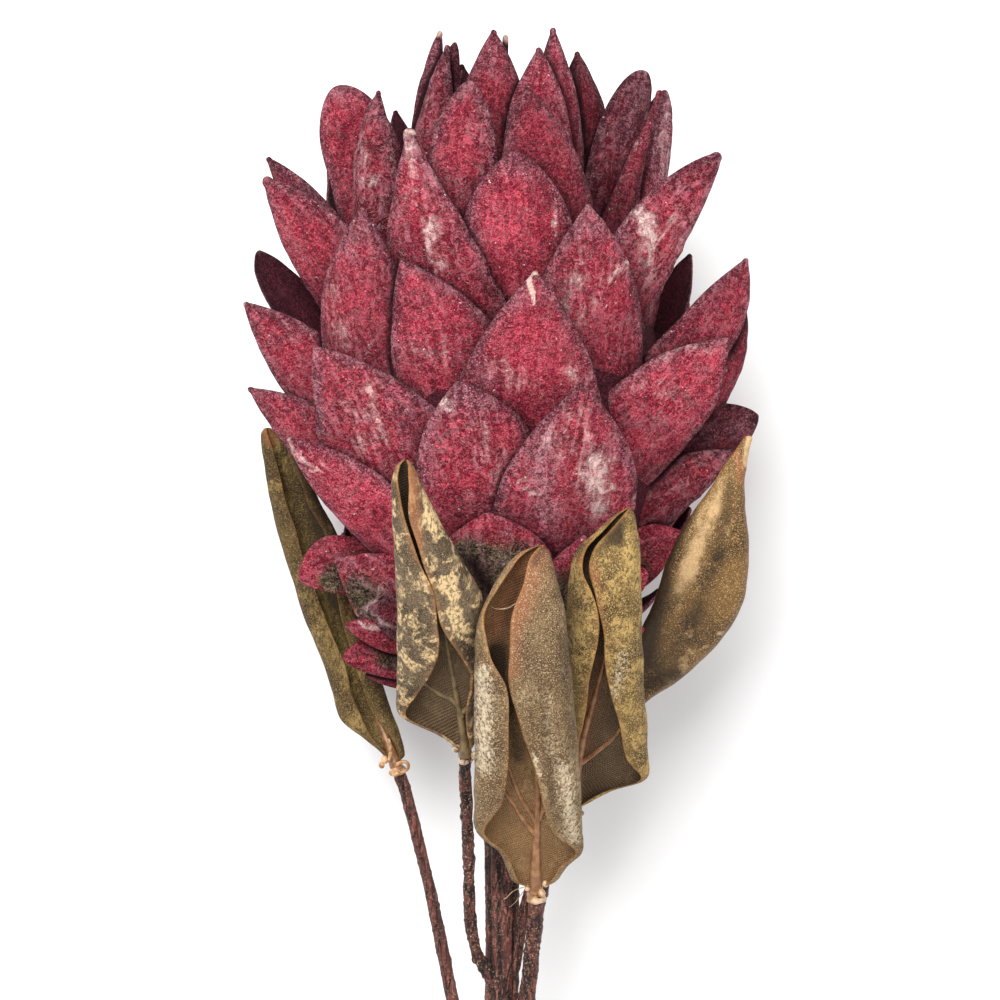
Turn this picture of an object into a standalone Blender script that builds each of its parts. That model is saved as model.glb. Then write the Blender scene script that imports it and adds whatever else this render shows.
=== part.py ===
"""Dried protea stem: one large head of layered bracts on a cut stem with five curled leaves.

Lengths in the tables are millimetres in the head's own frame: x to the right, y along the stem
towards the tip of the head, z towards the side that is looked at. lay_down() turns that frame
into the object's frame, in metres, where the stem lies on its back on z = 0.
"""
import math
import random

import bmesh
import bpy
import numpy as np

MM = 0.001

# How the stem lies: the axis rises towards the head, which rests on its back bracts.
TILT = math.radians(10.3)
AXIS_HEIGHT = 55.4
CENTRE_X = -0.065
CENTRE_Y = -80.02

FLOOR_SKIN = 1.1
BACK_CLEARANCE = 0.5

# Solid middle of the head, and the line inside it from which the bracts grow: (y, radius).
CORE = [(-49.0, 11.0), (-38.0, 22.0), (-20.0, 33.0), (0.0, 41.0), (25.0, 43.0),
        (50.0, 37.0), (68.0, 27.0), (82.0, 16.0), (93.0, 4.0)]
ROOT_LINE = [(-46.0, 9.0), (-38.0, 18.0), (-20.0, 24.0), (0.0, 28.0), (25.0, 30.0),
             (50.0, 26.0), (68.0, 18.0), (82.0, 8.0), (88.0, 2.0)]

# Rows of a bract lie closer together towards its tip.
TIP_CROWDING = 0.78
BRACT_THICKNESS = 1.3
BRACT_EDGE = 0.8


# Colour (linear RGB) and roughness of each kind of surface.
BURGUNDY = ((0.22, 0.03, 0.055), 0.92)
OLIVE_BROWN = ((0.12, 0.085, 0.03), 0.8)
RED_BROWN_BARK = ((0.085, 0.022, 0.022), 0.75)
AMBER_GLUE = ((0.45, 0.3, 0.16), 0.35)


def root_radius(y):
    """Radius at which a bract that grows at height y begins."""
    heights, radii = zip(*ROOT_LINE)
    return float(np.interp(y, heights, radii))


def lay_down(points):
    """Head frame in mm to the object's frame in metres."""
    p = np.asarray(points, dtype=float)
    c, s = math.cos(TILT), math.sin(TILT)
    x = p[..., 0] - CENTRE_X
    y = p[..., 1] * c - p[..., 2] * s - CENTRE_Y
    z = p[..., 1] * s + p[..., 2] * c + AXIS_HEIGHT * c
    return np.stack([x, y, z], -1) * MM


def keep_off_floor(outer, inner, floor):
    """Presses a skin that would go below the floor (in metres) flat against it."""
    under = np.minimum(outer[..., 2], inner[..., 2]) < floor
    for skin, other in ((outer, inner), (inner, outer)):
        least = np.where(skin[..., 2] >= other[..., 2], floor + FLOOR_SKIN * MM, floor)
        skin[..., 2] = np.where(under, np.maximum(skin[..., 2], least), skin[..., 2])
    return outer, inner


def near_angle(angle, other):
    """The same angle in degrees, less than half a turn from the other."""
    return other + (angle - other + 180) % 360 - 180


def bract_sheet(across, up, tip, root, width, splay, face=None, cup=None, widest=0.48, foot=0.55,
                point=1.6, soft=0.9, blunt=0.5, hook=0.0, wave=0.0, phase=0.0):
    """Middle surface of one bract as a grid of points, with its outward normals."""
    azimuth = math.degrees(math.atan2(tip[0], tip[2]))
    radius = math.hypot(tip[0], tip[2])
    root_azimuth, root_y = root
    root_azimuth = near_angle(root_azimuth, azimuth)
    face = azimuth if face is None else near_angle(face, azimuth)
    cup = 0.85 * radius if cup is None else cup

    v = np.linspace(0, 1, up + 1) ** TIP_CROWDING
    start = np.array([root_radius(root_y), root_y])
    end = np.array([radius, tip[1]])
    reach = np.linalg.norm(end - start)
    lean = math.radians(splay)
    middle = end - 0.62 * reach * np.array([math.sin(lean), math.cos(lean)])
    line = (((1 - v) ** 2)[:, None] * start + (2 * v * (1 - v))[:, None] * middle
            + (v ** 2)[:, None] * end)
    line[:, 0] += hook * np.clip((v - 0.75) / 0.25, 0, 1) ** 2
    turn = np.radians(root_azimuth + (azimuth - root_azimuth) * v ** 1.2)
    spine = np.stack([line[:, 0] * np.sin(turn), line[:, 1], line[:, 0] * np.cos(turn)], 1)

    along = np.gradient(spine, axis=0)
    along /= np.linalg.norm(along, axis=1)[:, None]
    facing = turn + (math.radians(face) - turn) * np.clip(v * 2.2, 0, 1)
    outward = np.stack([np.sin(facing), 0 * facing, np.cos(facing)], 1)
    side = np.cross(along, outward)
    side /= np.linalg.norm(side, axis=1)[:, None]
    out = np.cross(side, along)

    below = np.clip(v / widest, 0, 1)
    above = np.clip((v - widest) / (1 - widest), 0, 1)
    half = width / 2 * np.where(v < widest, foot + (1 - foot) * np.sin(math.pi / 2 * below),
                                np.clip(np.cos(math.pi / 2 * above ** point), 0, 1) ** soft)
    half = np.maximum(half, blunt)
    u = np.linspace(-1, 1, across + 1)
    bend = half[:, None] * u[None, :] / cup
    sheet = (spine[:, None, :] + side[:, None, :] * (cup * np.sin(bend))[..., None]
             - out[:, None, :] * (cup * (1 - np.cos(bend)))[..., None])
    normal = (out[:, None, :] * np.cos(bend)[..., None] + side[:, None, :] * np.sin(bend)[..., None])
    ripple = (wave * u[None, :] ** 2
              * np.sin(3 * math.pi * v[:, None] + phase + 1.3 * np.sign(u)[None, :]))
    sheet = sheet + out[:, None, :] * ripple[..., None]
    return sheet, normal, u, v


def closed_blade(outer, inner, name):
    """Mesh object between two grids of points that share their outline."""
    rows, columns = outer.shape[:2]
    points = np.concatenate([outer.reshape(-1, 3), inner.reshape(-1, 3)])
    offset = rows * columns

    def at(i, j):
        return i * columns + j

    faces = []
    for i in range(rows - 1):
        for j in range(columns - 1):
            a, b, c, d = at(i, j), at(i, j + 1), at(i + 1, j + 1), at(i + 1, j)
            faces += [(a, b, c), (a, c, d)]
            faces += [(offset + a, offset + c, offset + b), (offset + a, offset + d, offset + c)]
    ring = ([at(0, j) for j in range(columns)] + [at(i, columns - 1) for i in range(1, rows)]
            + [at(rows - 1, j) for j in range(columns - 2, -1, -1)]
            + [at(i, 0) for i in range(rows - 2, 0, -1)])
    for k, a in enumerate(ring):
        b = ring[(k + 1) % len(ring)]
        faces += [(b, a, offset + a), (b, offset + a, offset + b)]
    return mesh_object(points, faces, name)


def mesh_object(points, faces, name):
    """New object in the scene from points in metres and faces."""
    mesh = bpy.data.meshes.new(name)
    mesh.from_pydata([tuple(map(float, p)) for p in points], [], [tuple(map(int, f)) for f in faces])
    form = bmesh.new()
    form.from_mesh(mesh)
    bmesh.ops.recalc_face_normals(form, faces=form.faces)
    form.to_mesh(mesh)
    form.free()
    mesh.update()
    obj = bpy.data.objects.new(name, mesh)
    bpy.context.scene.collection.objects.link(obj)
    return obj


def finish(obj, look):
    """Gives a finished piece its material and smooth shading."""
    colour, roughness = look
    material = bpy.data.materials.new(obj.name)
    material.use_nodes = True
    shader = material.node_tree.nodes["Principled BSDF"]
    shader.inputs["Base Color"].default_value = (*colour, 1.0)
    shader.inputs["Roughness"].default_value = roughness
    shader.inputs["Metallic"].default_value = 0.0
    obj.data.materials.clear()
    obj.data.materials.append(material)
    obj.data.shade_smooth()
    obj.data.set_sharp_from_angle(angle=math.radians(40))
    return obj


def bract(name, across, up, floor=0.0, **shape):
    """One bract as a closed solid, kept above a floor height in mm."""
    sheet, normal, u, v = bract_sheet(across, up, **shape)
    thick = BRACT_EDGE + (BRACT_THICKNESS - BRACT_EDGE) * (1 - u[None, :] ** 2) * (1 - 0.5 * v[:, None])
    outer = lay_down(sheet + normal * thick[..., None] / 2)
    inner = lay_down(sheet - normal * thick[..., None] / 2)
    outer, inner = keep_off_floor(outer, inner, floor * MM)
    return closed_blade(outer, inner, name)


def tube(name, path, radii, sides):
    """Solid round tube along a path of points in mm."""
    path = np.asarray(path, dtype=float)
    radii = np.asarray(radii, dtype=float)
    along = np.gradient(path, axis=0)
    along /= np.linalg.norm(along, axis=1)[:, None]
    reference = np.array([0.0, 0.0, 1.0])
    first = np.cross(along, reference)
    first /= np.linalg.norm(first, axis=1)[:, None]
    second = np.cross(along, first)
    angle = np.arange(sides) * 2 * math.pi / sides
    rings = (path[:, None, :]
             + radii[:, None, None] * (np.cos(angle)[None, :, None] * first[:, None, :]
                                       + np.sin(angle)[None, :, None] * second[:, None, :]))
    points = lay_down(rings.reshape(-1, 3))
    points[:, 2] = np.maximum(points[:, 2], 0)
    faces = []
    rows = len(path)
    for i in range(rows - 1):
        for j in range(sides):
            k = (j + 1) % sides
            a, b, c, d = i * sides + j, i * sides + k, (i + 1) * sides + k, (i + 1) * sides + j
            faces += [(a, b, c), (a, c, d)]
    faces.append(tuple(range(sides)))
    faces.append(tuple((rows - 1) * sides + j for j in reversed(range(sides))))
    return mesh_object(points, faces, name)


def smooth_through(stations, count):
    """Evenly spaced values on a smooth curve through the stations (rows of numbers)."""
    rows = np.asarray(stations, dtype=float)
    knots = np.arange(len(rows), dtype=float)
    t = np.linspace(0, len(rows) - 1, count)
    slope = np.gradient(rows, axis=0)
    i = np.clip(np.floor(t).astype(int), 0, len(rows) - 2)
    f = (t - knots[i])[:, None]
    p0, p1, m0, m1 = rows[i], rows[i + 1], slope[i], slope[i + 1]
    return ((2 * f ** 3 - 3 * f ** 2 + 1) * p0 + (f ** 3 - 2 * f ** 2 + f) * m0
            + (-2 * f ** 3 + 3 * f ** 2) * p1 + (f ** 3 - f ** 2) * m1)


def fuse(name, base, others, keep=1.0, solver="EXACT"):
    """Boolean union of base with the others, thinned to the share keep of its triangles."""
    group = bpy.data.collections.new(name + "_parts")
    bpy.context.scene.collection.children.link(group)
    for obj in others:
        bpy.context.scene.collection.objects.unlink(obj)
        group.objects.link(obj)
    base.name = name
    base.data.name = name
    union = base.modifiers.new("union", "BOOLEAN")
    union.operation = "UNION"
    union.operand_type = "COLLECTION"
    union.collection = group
    union.solver = solver
    bpy.context.view_layer.update()
    graph = bpy.context.evaluated_depsgraph_get()
    joined = bpy.data.meshes.new_from_object(base.evaluated_get(graph))
    base.modifiers.clear()
    base.data = joined
    joined.name = name
    for obj in list(group.objects):
        bpy.data.objects.remove(obj, do_unlink=True)
    bpy.data.collections.remove(group)
    outer_shell_only(base)
    if keep < 1:
        thin = base.modifiers.new("thin", "DECIMATE")
        thin.ratio = keep
        thin.use_collapse_triangulate = True
        graph = bpy.context.evaluated_depsgraph_get()
        thinned = bpy.data.meshes.new_from_object(base.evaluated_get(graph))
        base.modifiers.clear()
        base.data = thinned
        thinned.name = name
    return base


def outer_shell_only(obj):
    """Fills pockets that the union closed in: only the largest shell is kept."""
    form = bmesh.new()
    form.from_mesh(obj.data)
    bmesh.ops.remove_doubles(form, verts=form.verts, dist=1e-7)
    bmesh.ops.triangulate(form, faces=form.faces)
    bmesh.ops.dissolve_degenerate(form, edges=form.edges, dist=1e-7)
    form.verts.ensure_lookup_table()
    seen, shells = set(), []
    for start in form.verts:
        if start in seen:
            continue
        shell, stack = [], [start]
        seen.add(start)
        while stack:
            vert = stack.pop()
            shell.append(vert)
            for edge in vert.link_edges:
                other = edge.other_vert(vert)
                if other not in seen:
                    seen.add(other)
                    stack.append(other)
        shells.append(shell)
    shells.sort(key=len, reverse=True)
    for shell in shells[1:]:
        bmesh.ops.delete(form, geom=shell, context="VERTS")
    form.to_mesh(obj.data)
    form.free()
    obj.data.update()


# Bracts that the front shows: name, tip (x, y, z), root (azimuth, y), width, splay, options.
FRONT_BRACTS = [
    ("crown_far_left", (-15.8, 119.4, -3), (-96, 60), 11, -12, dict(face=-30, cup=12, soft=0.5)),
    ("crown_left", (-14.0, 115.5, 3), (-84, 54), 16, -12, dict(face=-30, cup=14)),
    ("crown_behind_left", (-12.0, 116.5, -2), (-70, 60), 8, -10, dict(face=-10, soft=0.5)),
    ("crown_middle_left", (-2.2, 118.6, 13), (-24, 62), 20, -10, dict(face=-6, cup=16, point=2.0)),
    ("crown_middle_right", (9.3, 114.0, 15), (20, 58), 20, -8, dict(face=8, cup=16)),
    ("crown_right", (12.9, 119.5, 7), (56, 62), 15, -6, dict(face=18, cup=14)),
    ("crown_dark_right", (19.2, 114.2, -3), (68, 56), 18, -6, dict(face=26, cup=13)),
    ("second_right", (36.2, 108.5, 3), (64, 34), 20, 22, dict(face=34, cup=9, soft=0.7)),
    ("second_far_right", (41.6, 104.5, -5), (76, 30), 19, 10, dict(face=40, cup=12, soft=0.6)),
    ("second_far_left", (-41.5, 105.6, -6), (-84, 34), 20, 22,
     dict(face=-10, cup=20, widest=0.7, point=1.8, soft=0.55)),
    ("second_left", (-31.0, 103.0, 16), (-70, 34), 17, 4, dict(face=-30, cup=9, point=2.0)),
    ("second_middle_left", (-8.0, 104.4, 33), (-20, 40), 21, -4, dict(face=-10, point=1.8, soft=0.55)),
    ("second_middle_right", (6.2, 102.8, 34), (30, 36), 25, -4, dict(face=14, point=1.8)),
    ("third_left", (-23.0, 92.2, 38), (0, 24), 24, -6, dict(face=-20, cup=18, soft=0.6)),
    ("third_middle", (3.2, 86.2, 46), (8, 24), 31, 14, dict(face=4, point=1.8, soft=0.75)),
    ("third_right", (53.8, 86.8, 22), (44, 8), 24, 38, dict(face=20, cup=18, soft=0.7, hook=1.0)),
    ("third_back_left", (-60.2, 87.0, -4), (-84, 16), 22, 38, dict(face=-60)),
    ("third_far_left", (-59.8, 81.0, 18), (-58, 6), 24, 42, dict(face=-30, cup=20, point=1.9)),
    ("fourth_left", (-34.6, 72.2, 42), (-50, 4), 26, 16, dict(face=-32, point=1.7)),
    ("fourth_middle_left", (-25.0, 59.6, 50), (-12, -12), 27, 20, dict(face=-18, point=2.4, soft=0.8)),
    ("fourth_middle_right", (21.2, 73.0, 47), (32, 4), 30, 14, dict(face=24, point=1.8, foot=0.4)),
    ("fourth_right", (61.9, 60.9, 14), (62, 22), 22, 14, dict(face=30, cup=18)),
    ("fourth_far_right", (61.2, 49.6, 4), (84, 4), 16, 16, dict(face=85)),
    ("fourth_back_left", (-62.6, 63.0, -4), (-84, 6), 18, 36, dict(face=-104, soft=0.6)),
    ("fourth_far_left", (-65.2, 49.6, 14), (-66, -6), 22, 46, dict(face=-34)),
    ("fifth_middle", (8.1, 56.0, 59), (8, -16), 40, 18, dict(face=6, point=1.3, widest=0.42)),
    ("fifth_left", (-46.5, 38.2, 40), (-14, -24), 31, 26, dict(face=-26, point=2.2, soft=0.8)),
    ("fifth_right", (56.5, 40.4, 28), (36, -4), 26, 38, dict(face=30, cup=26, point=2.2, soft=0.8)),
    ("fifth_far_left", (-63.9, 28.2, 14), (-50, -24), 19, 52, dict(face=-30, cup=22)),
    ("sixth_left", (-10.8, 29.2, 57), (2, -28), 34, 18, dict(face=-6, point=2.3, soft=0.85)),
    ("sixth_right", (19.6, 28.4, 60), (16, -32), 33, 18, dict(face=16)),
    ("sixth_far_right", (65.2, 22.0, 4), (66, -8), 20, 60, dict(face=100, cup=12)),
    ("sixth_side_right", (58.6, 12.4, 12), (54, -22), 17, 58, dict(face=36, cup=14)),
    ("seventh_left", (-53.2, 15.2, 34), (-34, -32), 20, 48, dict(face=-34, cup=20)),
    ("seventh_middle", (-3.7, -3.2, 51), (0, -40), 33, 22, dict(point=2.2, soft=0.85)),
    ("seventh_right", (20.6, -9.0, 48), (22, -41), 26, 22, dict()),
    ("seventh_far_right", (45.6, -8.1, 14), (58, -32), 18, 66, dict(face=25)),
    ("base_far_left", (-51.8, -18.0, 14), (-62, -22), 16, 78, dict(face=-16, soft=0.5, point=2.2)),
    ("base_left", (-41.2, -17.6, 26), (-44, -32), 19, 60, dict(face=-24, soft=0.55, point=2.4)),
    ("base_left_inner", (-32.0, -26.0, 33), (-40, -35), 12, 66, dict(face=-20, soft=0.5)),
    ("base_left_low", (-39.0, -33.6, 18), (-58, -37), 8, 80, dict(face=-20, soft=0.7)),
    ("base_left_lower", (-39.8, -39.0, 13), (-62, -41), 9, 84, dict(face=-20, soft=0.7)),
    ("base_left_lowest", (-34.4, -44.2, 11), (-62, -45), 7, 86, dict(face=-20, soft=0.7)),
    ("base_right", (36.6, -18.4, 20), (54, -26), 12, 72, dict(face=25, soft=0.6)),
    ("base_right_low", (35.6, -32.4, 20), (54, -38), 8, 78, dict(face=25, soft=0.6)),
]

# Back bracts that the head rests on, pressed flat by its weight.
REST_BRACTS = [
    ("rest_middle", (-2.0, 50.0, -65.9), (181, -16), 34, 14, dict()),
    ("rest_left", (-27.0, 27.0, -61.6), (201, -28), 32, 14, dict(face=187)),
    ("rest_right", (25.0, 31.0, -62.3), (159, -26), 32, 14, dict(face=173)),
]

# Rows of the side that lies on the floor: azimuths of the tips, tip radius and y, root y, width, splay.
BACK_ROWS = [
    ((142, 180, 220), 16, 114, 58, 21, -6),
    ((128, 162, 197, 234), 35, 102, 32, 27, 6),
    ((118, 150, 184, 216, 247), 49, 84, 8, 29, 14),
    ((105, 133, 166, 200, 230), 59, 64, -8, 33, 20),
    ((110, 142, 222, 252), 62, 41, -20, 35, 24),
    ((103, 131, 234), 60, 21, -28, 34, 30),
    ((108, 147, 184, 214, 236), 50, -3, -36, 28, 32),
    ((107, 133, 166, 200, 234), 42, -22, -42, 21, 48),
]

# Young bracts that close the crown over the middle.
BUD_ROWS = [
    ((20, 110, 200, 290), 6, 104, 76, 16, -24),
    ((65, 155, 245, 335), 11, 109, 66, 18, -16),
]


def ruled_bracts(rows, seed):
    """Shapes of the bracts that rows describe, each a little different."""
    chance = random.Random(seed)
    for row, (azimuths, radius, y, root_y, width, splay) in enumerate(rows):
        for column, azimuth in enumerate(azimuths):
            turn = math.radians(azimuth + chance.uniform(-3, 3))
            r = radius * chance.uniform(0.97, 1.03)
            tip = (r * math.sin(turn), y + chance.uniform(-2.5, 2.5), r * math.cos(turn))
            yield f"{row}_{column}", dict(
                tip=tip, root=(azimuth + chance.uniform(-6, 6), root_y),
                width=width * chance.uniform(0.95, 1.06), splay=splay + chance.uniform(-3, 3),
                phase=chance.uniform(0, 6))


def head():
    """The head: a solid middle with every bract sunk into it."""
    heights = np.array([y for y, _ in CORE])
    path = np.stack([0 * heights, heights, 0 * heights], 1)
    middle = tube("bloom", path, [r for _, r in CORE], 20)
    petals = []
    for name, tip, root, width, splay, extra in FRONT_BRACTS + REST_BRACTS:
        petals.append(bract(name, 4, 5, tip=tip, root=root, width=width, splay=splay, **extra))
    for number, (name, shape) in enumerate(ruled_bracts(BACK_ROWS, 5)):
        petals.append(bract("back_" + name, 3, 4, floor=BACK_CLEARANCE + 0.05 * number, **shape))
    for name, shape in ruled_bracts(BUD_ROWS, 9):
        petals.append(bract("bud_" + name, 2, 3, **shape))
    return finish(fuse("bloom", middle, petals, keep=0.68), BURGUNDY)


# Leaves from base to tip. Each row: y, outer edge left, outer edge right, margin left, margin right
# (where the rolled margins end), z of the back of the fold, depth of the fold (below 0: rolled
# away from the viewer).
LEAVES = {
    "leaf_far_left": [
        (-66.5, -29.0, -25.6, -28.8, -25.8, -3.0, 1.2),
        (-64.5, -30.2, -25.2, -29.6, -25.9, -3.2, 1.8),
        (-60.5, -35.0, -26.0, -33.0, -28.0, -4.0, 3.5),
        (-56.0, -40.5, -27.5, -35.5, -31.5, -5.3, 5.5),
        (-49.0, -42.8, -30.0, -38.2, -34.6, -7.4, 6.5),
        (-41.0, -45.5, -33.0, -40.8, -37.4, -9.6, 7.0),
        (-31.0, -49.8, -37.0, -45.0, -40.5, -12.4, 7.0),
        (-21.0, -53.0, -39.5, -48.6, -42.6, -14.0, 7.0),
        (-10.0, -56.5, -42.0, -52.2, -44.4, -15.0, 6.5),
        (0.0, -59.0, -47.2, -55.4, -49.5, -15.5, 6.0),
        (8.8, -60.5, -51.0, -57.6, -53.0, -15.5, 5.0),
        (15.0, -61.2, -54.0, -59.6, -55.6, -15.1, 3.0),
        (18.5, -61.3, -58.8, -60.8, -59.3, -14.9, 1.2),
    ],
    "leaf_left": [
        (-62.5, -10.9, -7.6, -10.7, -7.5, 31.0, 1.2),
        (-60.5, -12.6, -7.3, -12.0, -7.8, 32.0, 1.8),
        (-58.0, -16.5, -7.3, -15.4, -8.4, 33.4, 3.0),
        (-53.5, -25.0, -7.3, -24.0, -8.6, 36.0, 5.0),
        (-48.0, -25.8, -7.5, -21.4, -8.0, 39.0, 7.5),
        (-44.0, -25.6, -7.5, -18.6, -7.6, 41.5, 9.0),
        (-39.0, -25.5, -7.1, -16.6, -9.6, 44.0, 10.0),
        (-32.0, -25.5, -6.1, -16.0, -14.0, 48.0, 10.5),
        (-24.0, -25.5, -5.1, -16.8, -15.8, 52.0, 10.5),
        (-15.0, -25.9, -9.9, -20.4, -19.2, 56.0, 10.0),
        (-5.0, -26.4, -15.5, -23.6, -22.4, 60.0, 8.5),
        (3.5, -26.6, -19.9, -25.2, -22.3, 62.6, 6.0),
        (8.0, -25.6, -21.9, -25.0, -22.5, 63.8, 3.0),
        (9.8, -24.4, -22.6, -24.2, -22.8, 64.2, 1.0),
    ],
    "leaf_middle": [
        (-97.6, 6.6, 10.6, 6.9, 10.3, 15.0, 1.2),
        (-95.8, 3.2, 13.4, 4.0, 12.6, 16.3, 2.0),
        (-92.0, 1.4, 16.0, 2.4, 15.0, 19.25, 3.5),
        (-88.0, -0.4, 19.8, 0.8, 19.0, 22.25, 5.0),
        (-82.5, -6.2, 19.8, -4.6, 13.0, 26.62, 7.0),
        (-75.0, -6.5, 19.4, -0.6, 10.4, 32.0, 9.0),
        (-66.0, -6.5, 18.8, 1.2, 8.2, 37.0, 10.0),
        (-56.0, -6.5, 18.0, 1.4, 4.8, 42.5, 10.5),
        (-46.0, -6.5, 17.0, 0.9, 2.2, 48.0, 10.5),
        (-38.0, -6.4, 16.2, -3.4, 2.0, 52.0, 10.0),
        (-29.0, -5.5, 15.2, -4.5, 2.6, 56.0, 9.0),
        (-21.0, -1.8, 13.6, -0.8, 5.0, 59.0, 7.0),
        (-15.0, 2.2, 11.9, 3.0, 6.6, 61.1, 4.5),
        (-12.0, 6.2, 10.9, 6.8, 8.8, 62.1, 2.5),
        (-11.0, 9.2, 10.5, 9.5, 10.2, 62.4, 1.0),
    ],
    "leaf_right": [
        (-77.6, 16.6, 20.2, 16.8, 20.0, 11.0, 1.2),
        (-75.6, 16.8, 22.6, 17.2, 22.0, 12.0, 1.8),
        (-73.0, 17.0, 28.0, 17.6, 27.0, 13.6, 2.6),
        (-70.2, 17.0, 35.8, 17.8, 34.8, 15.4, 4.0),
        (-65.0, 17.0, 36.2, 18.2, 31.6, 19.0, 7.0),
        (-57.0, 17.0, 35.8, 19.6, 29.6, 24.5, 9.0),
        (-49.0, 17.0, 35.0, 20.8, 27.2, 30.0, 10.0),
        (-40.0, 16.4, 34.5, 22.2, 25.6, 35.5, 10.5),
        (-31.0, 16.0, 34.2, 23.6, 24.8, 41.0, 10.5),
        (-24.0, 16.3, 34.0, 22.2, 23.4, 45.0, 10.0),
        (-17.5, 17.0, 33.8, 19.6, 21.4, 48.5, 9.0),
        (-12.0, 19.0, 33.5, 20.2, 23.0, 51.0, 7.0),
        (-7.5, 23.6, 32.9, 24.6, 26.6, 52.8, 4.5),
        (-3.8, 27.6, 32.2, 28.2, 29.8, 54.0, 2.5),
        (-2.0, 30.4, 31.7, 30.6, 31.4, 54.4, 1.0),
    ],
    "leaf_far_right": [
        (-62.6, 21.2, 24.8, 21.4, 24.6, 3.5, -1.2),
        (-60.6, 21.8, 27.0, 22.2, 26.6, 3.8, -1.8),
        (-56.5, 23.6, 31.0, 24.2, 30.2, 4.0, -2.8),
        (-50.5, 26.2, 37.2, 27.2, 36.0, 4.4, -4.0),
        (-46.5, 28.2, 43.4, 29.4, 42.0, 5.2, -5.0),
        (-41.5, 31.2, 49.2, 32.6, 47.4, 8.5, -4.0),
        (-35.0, 34.4, 55.2, 36.0, 53.0, 13.5, -4.2),
        (-25.0, 38.6, 60.4, 40.6, 57.8, 20.5, -4.8),
        (-15.0, 41.8, 61.4, 44.0, 58.8, 26, -5.5),
        (-5.0, 46.8, 60.8, 48.6, 58.6, 29.5, -5.5),
        (3.0, 52.2, 60.0, 53.2, 58.4, 31, -4.5),
        (10.0, 56.6, 60.9, 57.2, 60.0, 31, -2.5),
        (16.0, 60.9, 62.2, 61.2, 62.0, 30.5, -1.0),
    ],
}

LEAF_THICKNESS = 0.8
LEAST_LEAF_HALF = 1.1
LEAST_ROLL = 0.75

# Branches of the cut stem: path (x, y, z) from the main stem towards the leaf, and radii.
BRANCHES = {
    "leaf_far_left": ([(0, -180, 0), (-4, -166, -0.6), (-9, -143, -1.4), (-13, -125, -2.2),
                       (-16, -110, -2.8), (-19.3, -95, -3), (-24.3, -75, -3)],
                      [2.6, 2.1, 1.7, 1.6, 1.55, 1.5, 1.5, 1.5]),
    "leaf_left": ([(0, -128, 0), (-2.6, -121, 2.6), (-6.2, -115, 6), (-8, -105, 10.5),
                   (-8.4, -92, 16), (-8.8, -78, 22.5), (-9.1, -70, 26.5)],
                  [2.4, 1.9, 1.5, 1.45, 1.45, 1.45, 1.45, 1.45]),
    "leaf_middle": ([(0, -150, 0), (3.4, -140, 3.4), (6.4, -127, 7), (7.4, -115, 9.6),
                     (8.3, -105, 12)],
                    [2.8, 2.3, 2.0, 2.0, 1.9, 1.8]),
    "leaf_right": ([(0, -146, 0), (4.6, -131, 2), (7.6, -116, 3.6), (9.2, -103, 5),
                    (12.4, -91, 7), (16.4, -83, 9)],
                   [2.2, 1.7, 1.6, 1.6, 1.55, 1.5, 1.5]),
    "leaf_far_right": ([(0, -130, 0), (3.2, -117, 1), (5.4, -106, 1.4), (9.2, -93, 1.8),
                        (16.4, -77, 2.6), (20.4, -68.5, 3.1)],
                       [2.2, 1.8, 1.6, 1.6, 1.5, 1.5, 1.5]),
}

# The main stem from its cut end to the seat under the head: (y, radius).
STEM = [(-282.0, 4.3), (-276.0, 4.2), (-235.0, 4.0), (-190.0, 4.2), (-150.0, 4.3), (-118.0, 4.2),
        (-90.0, 4.4), (-72.0, 5.0), (-60.0, 6.8), (-49.3, 9.0)]

# The joint of leaf and branch: the sleeve ends JOINT_DROP below the blade and JOINT_GAP above the
# branch, and a ring of glue goes round both.
JOINT_DROP = 1.4
JOINT_GAP = 0.3
SLEEVE_RADIUS = 1.75
GLUE_RING = 2.75
GLUE_RADIAL = 0.75
GLUE_AXIAL = 1.6
GLUE_DROP = 1.3


def leaf_sheet(rows, counts, stations):
    """Middle surface of a leaf whose margins roll over, with its normals out of the roll.

    Each section runs from the left margin over the left roll, the flat back and the right roll
    to the right margin; counts gives the columns of a margin, a roll and the back.
    """
    lap, roll, back = counts
    s = smooth_through(stations, rows + 1)
    y, left, right, margin_left, margin_right, z, depth = s.T[:, :, None]
    sign = np.sign(stations[0][-1])
    middle, half = (left + right) / 2, np.maximum((right - left) / 2, LEAST_LEAF_HALF)
    left, right = middle - half, middle + half
    radius = np.clip(np.minimum(np.abs(depth) / 2, 0.84 * half), LEAST_ROLL, None)

    def side(edge, margin, direction):
        over = np.clip((margin - edge) * direction, 0.02, None)
        angle = math.pi - np.arcsin(np.clip(1 - over / radius, 0, 1))
        flat = np.clip(over - radius, 0, None)
        t = np.linspace(0, 1, roll + 1)[None, :] * angle
        f = np.linspace(0, 1, lap + 1)[None, 1:] * (flat + 0.3)
        last = t[:, -1:] + 0 * f
        x = edge + direction * (radius - radius * np.sin(t))
        z = radius - radius * np.cos(t)
        x = np.concatenate([x, x[:, -1:] - direction * np.cos(last) * f], 1)
        z = np.concatenate([z, z[:, -1:] + np.sin(last) * f], 1)
        t = np.concatenate([t, last], 1)
        return x, z, -direction * np.sin(t), -np.cos(t)

    from_left = side(left, margin_left, 1)
    from_right = side(right, margin_right, -1)
    b = np.linspace(0, 1, back + 1)[None, 1:-1]
    across = from_left[0][:, :1] + (from_right[0][:, :1] - from_left[0][:, :1]) * b
    flat_back = across, 0 * across, 0 * across, 0 * across - 1
    x, depth_in, out_x, out_z = [np.concatenate([l[:, ::-1], m, r], 1)
                                 for l, m, r in zip(from_left, flat_back, from_right)]
    sheet = np.stack([x, y + 0 * x, z + sign * depth_in], -1)
    normal = np.stack([out_x, 0 * x, sign * out_z], -1)
    return sheet, normal


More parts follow.
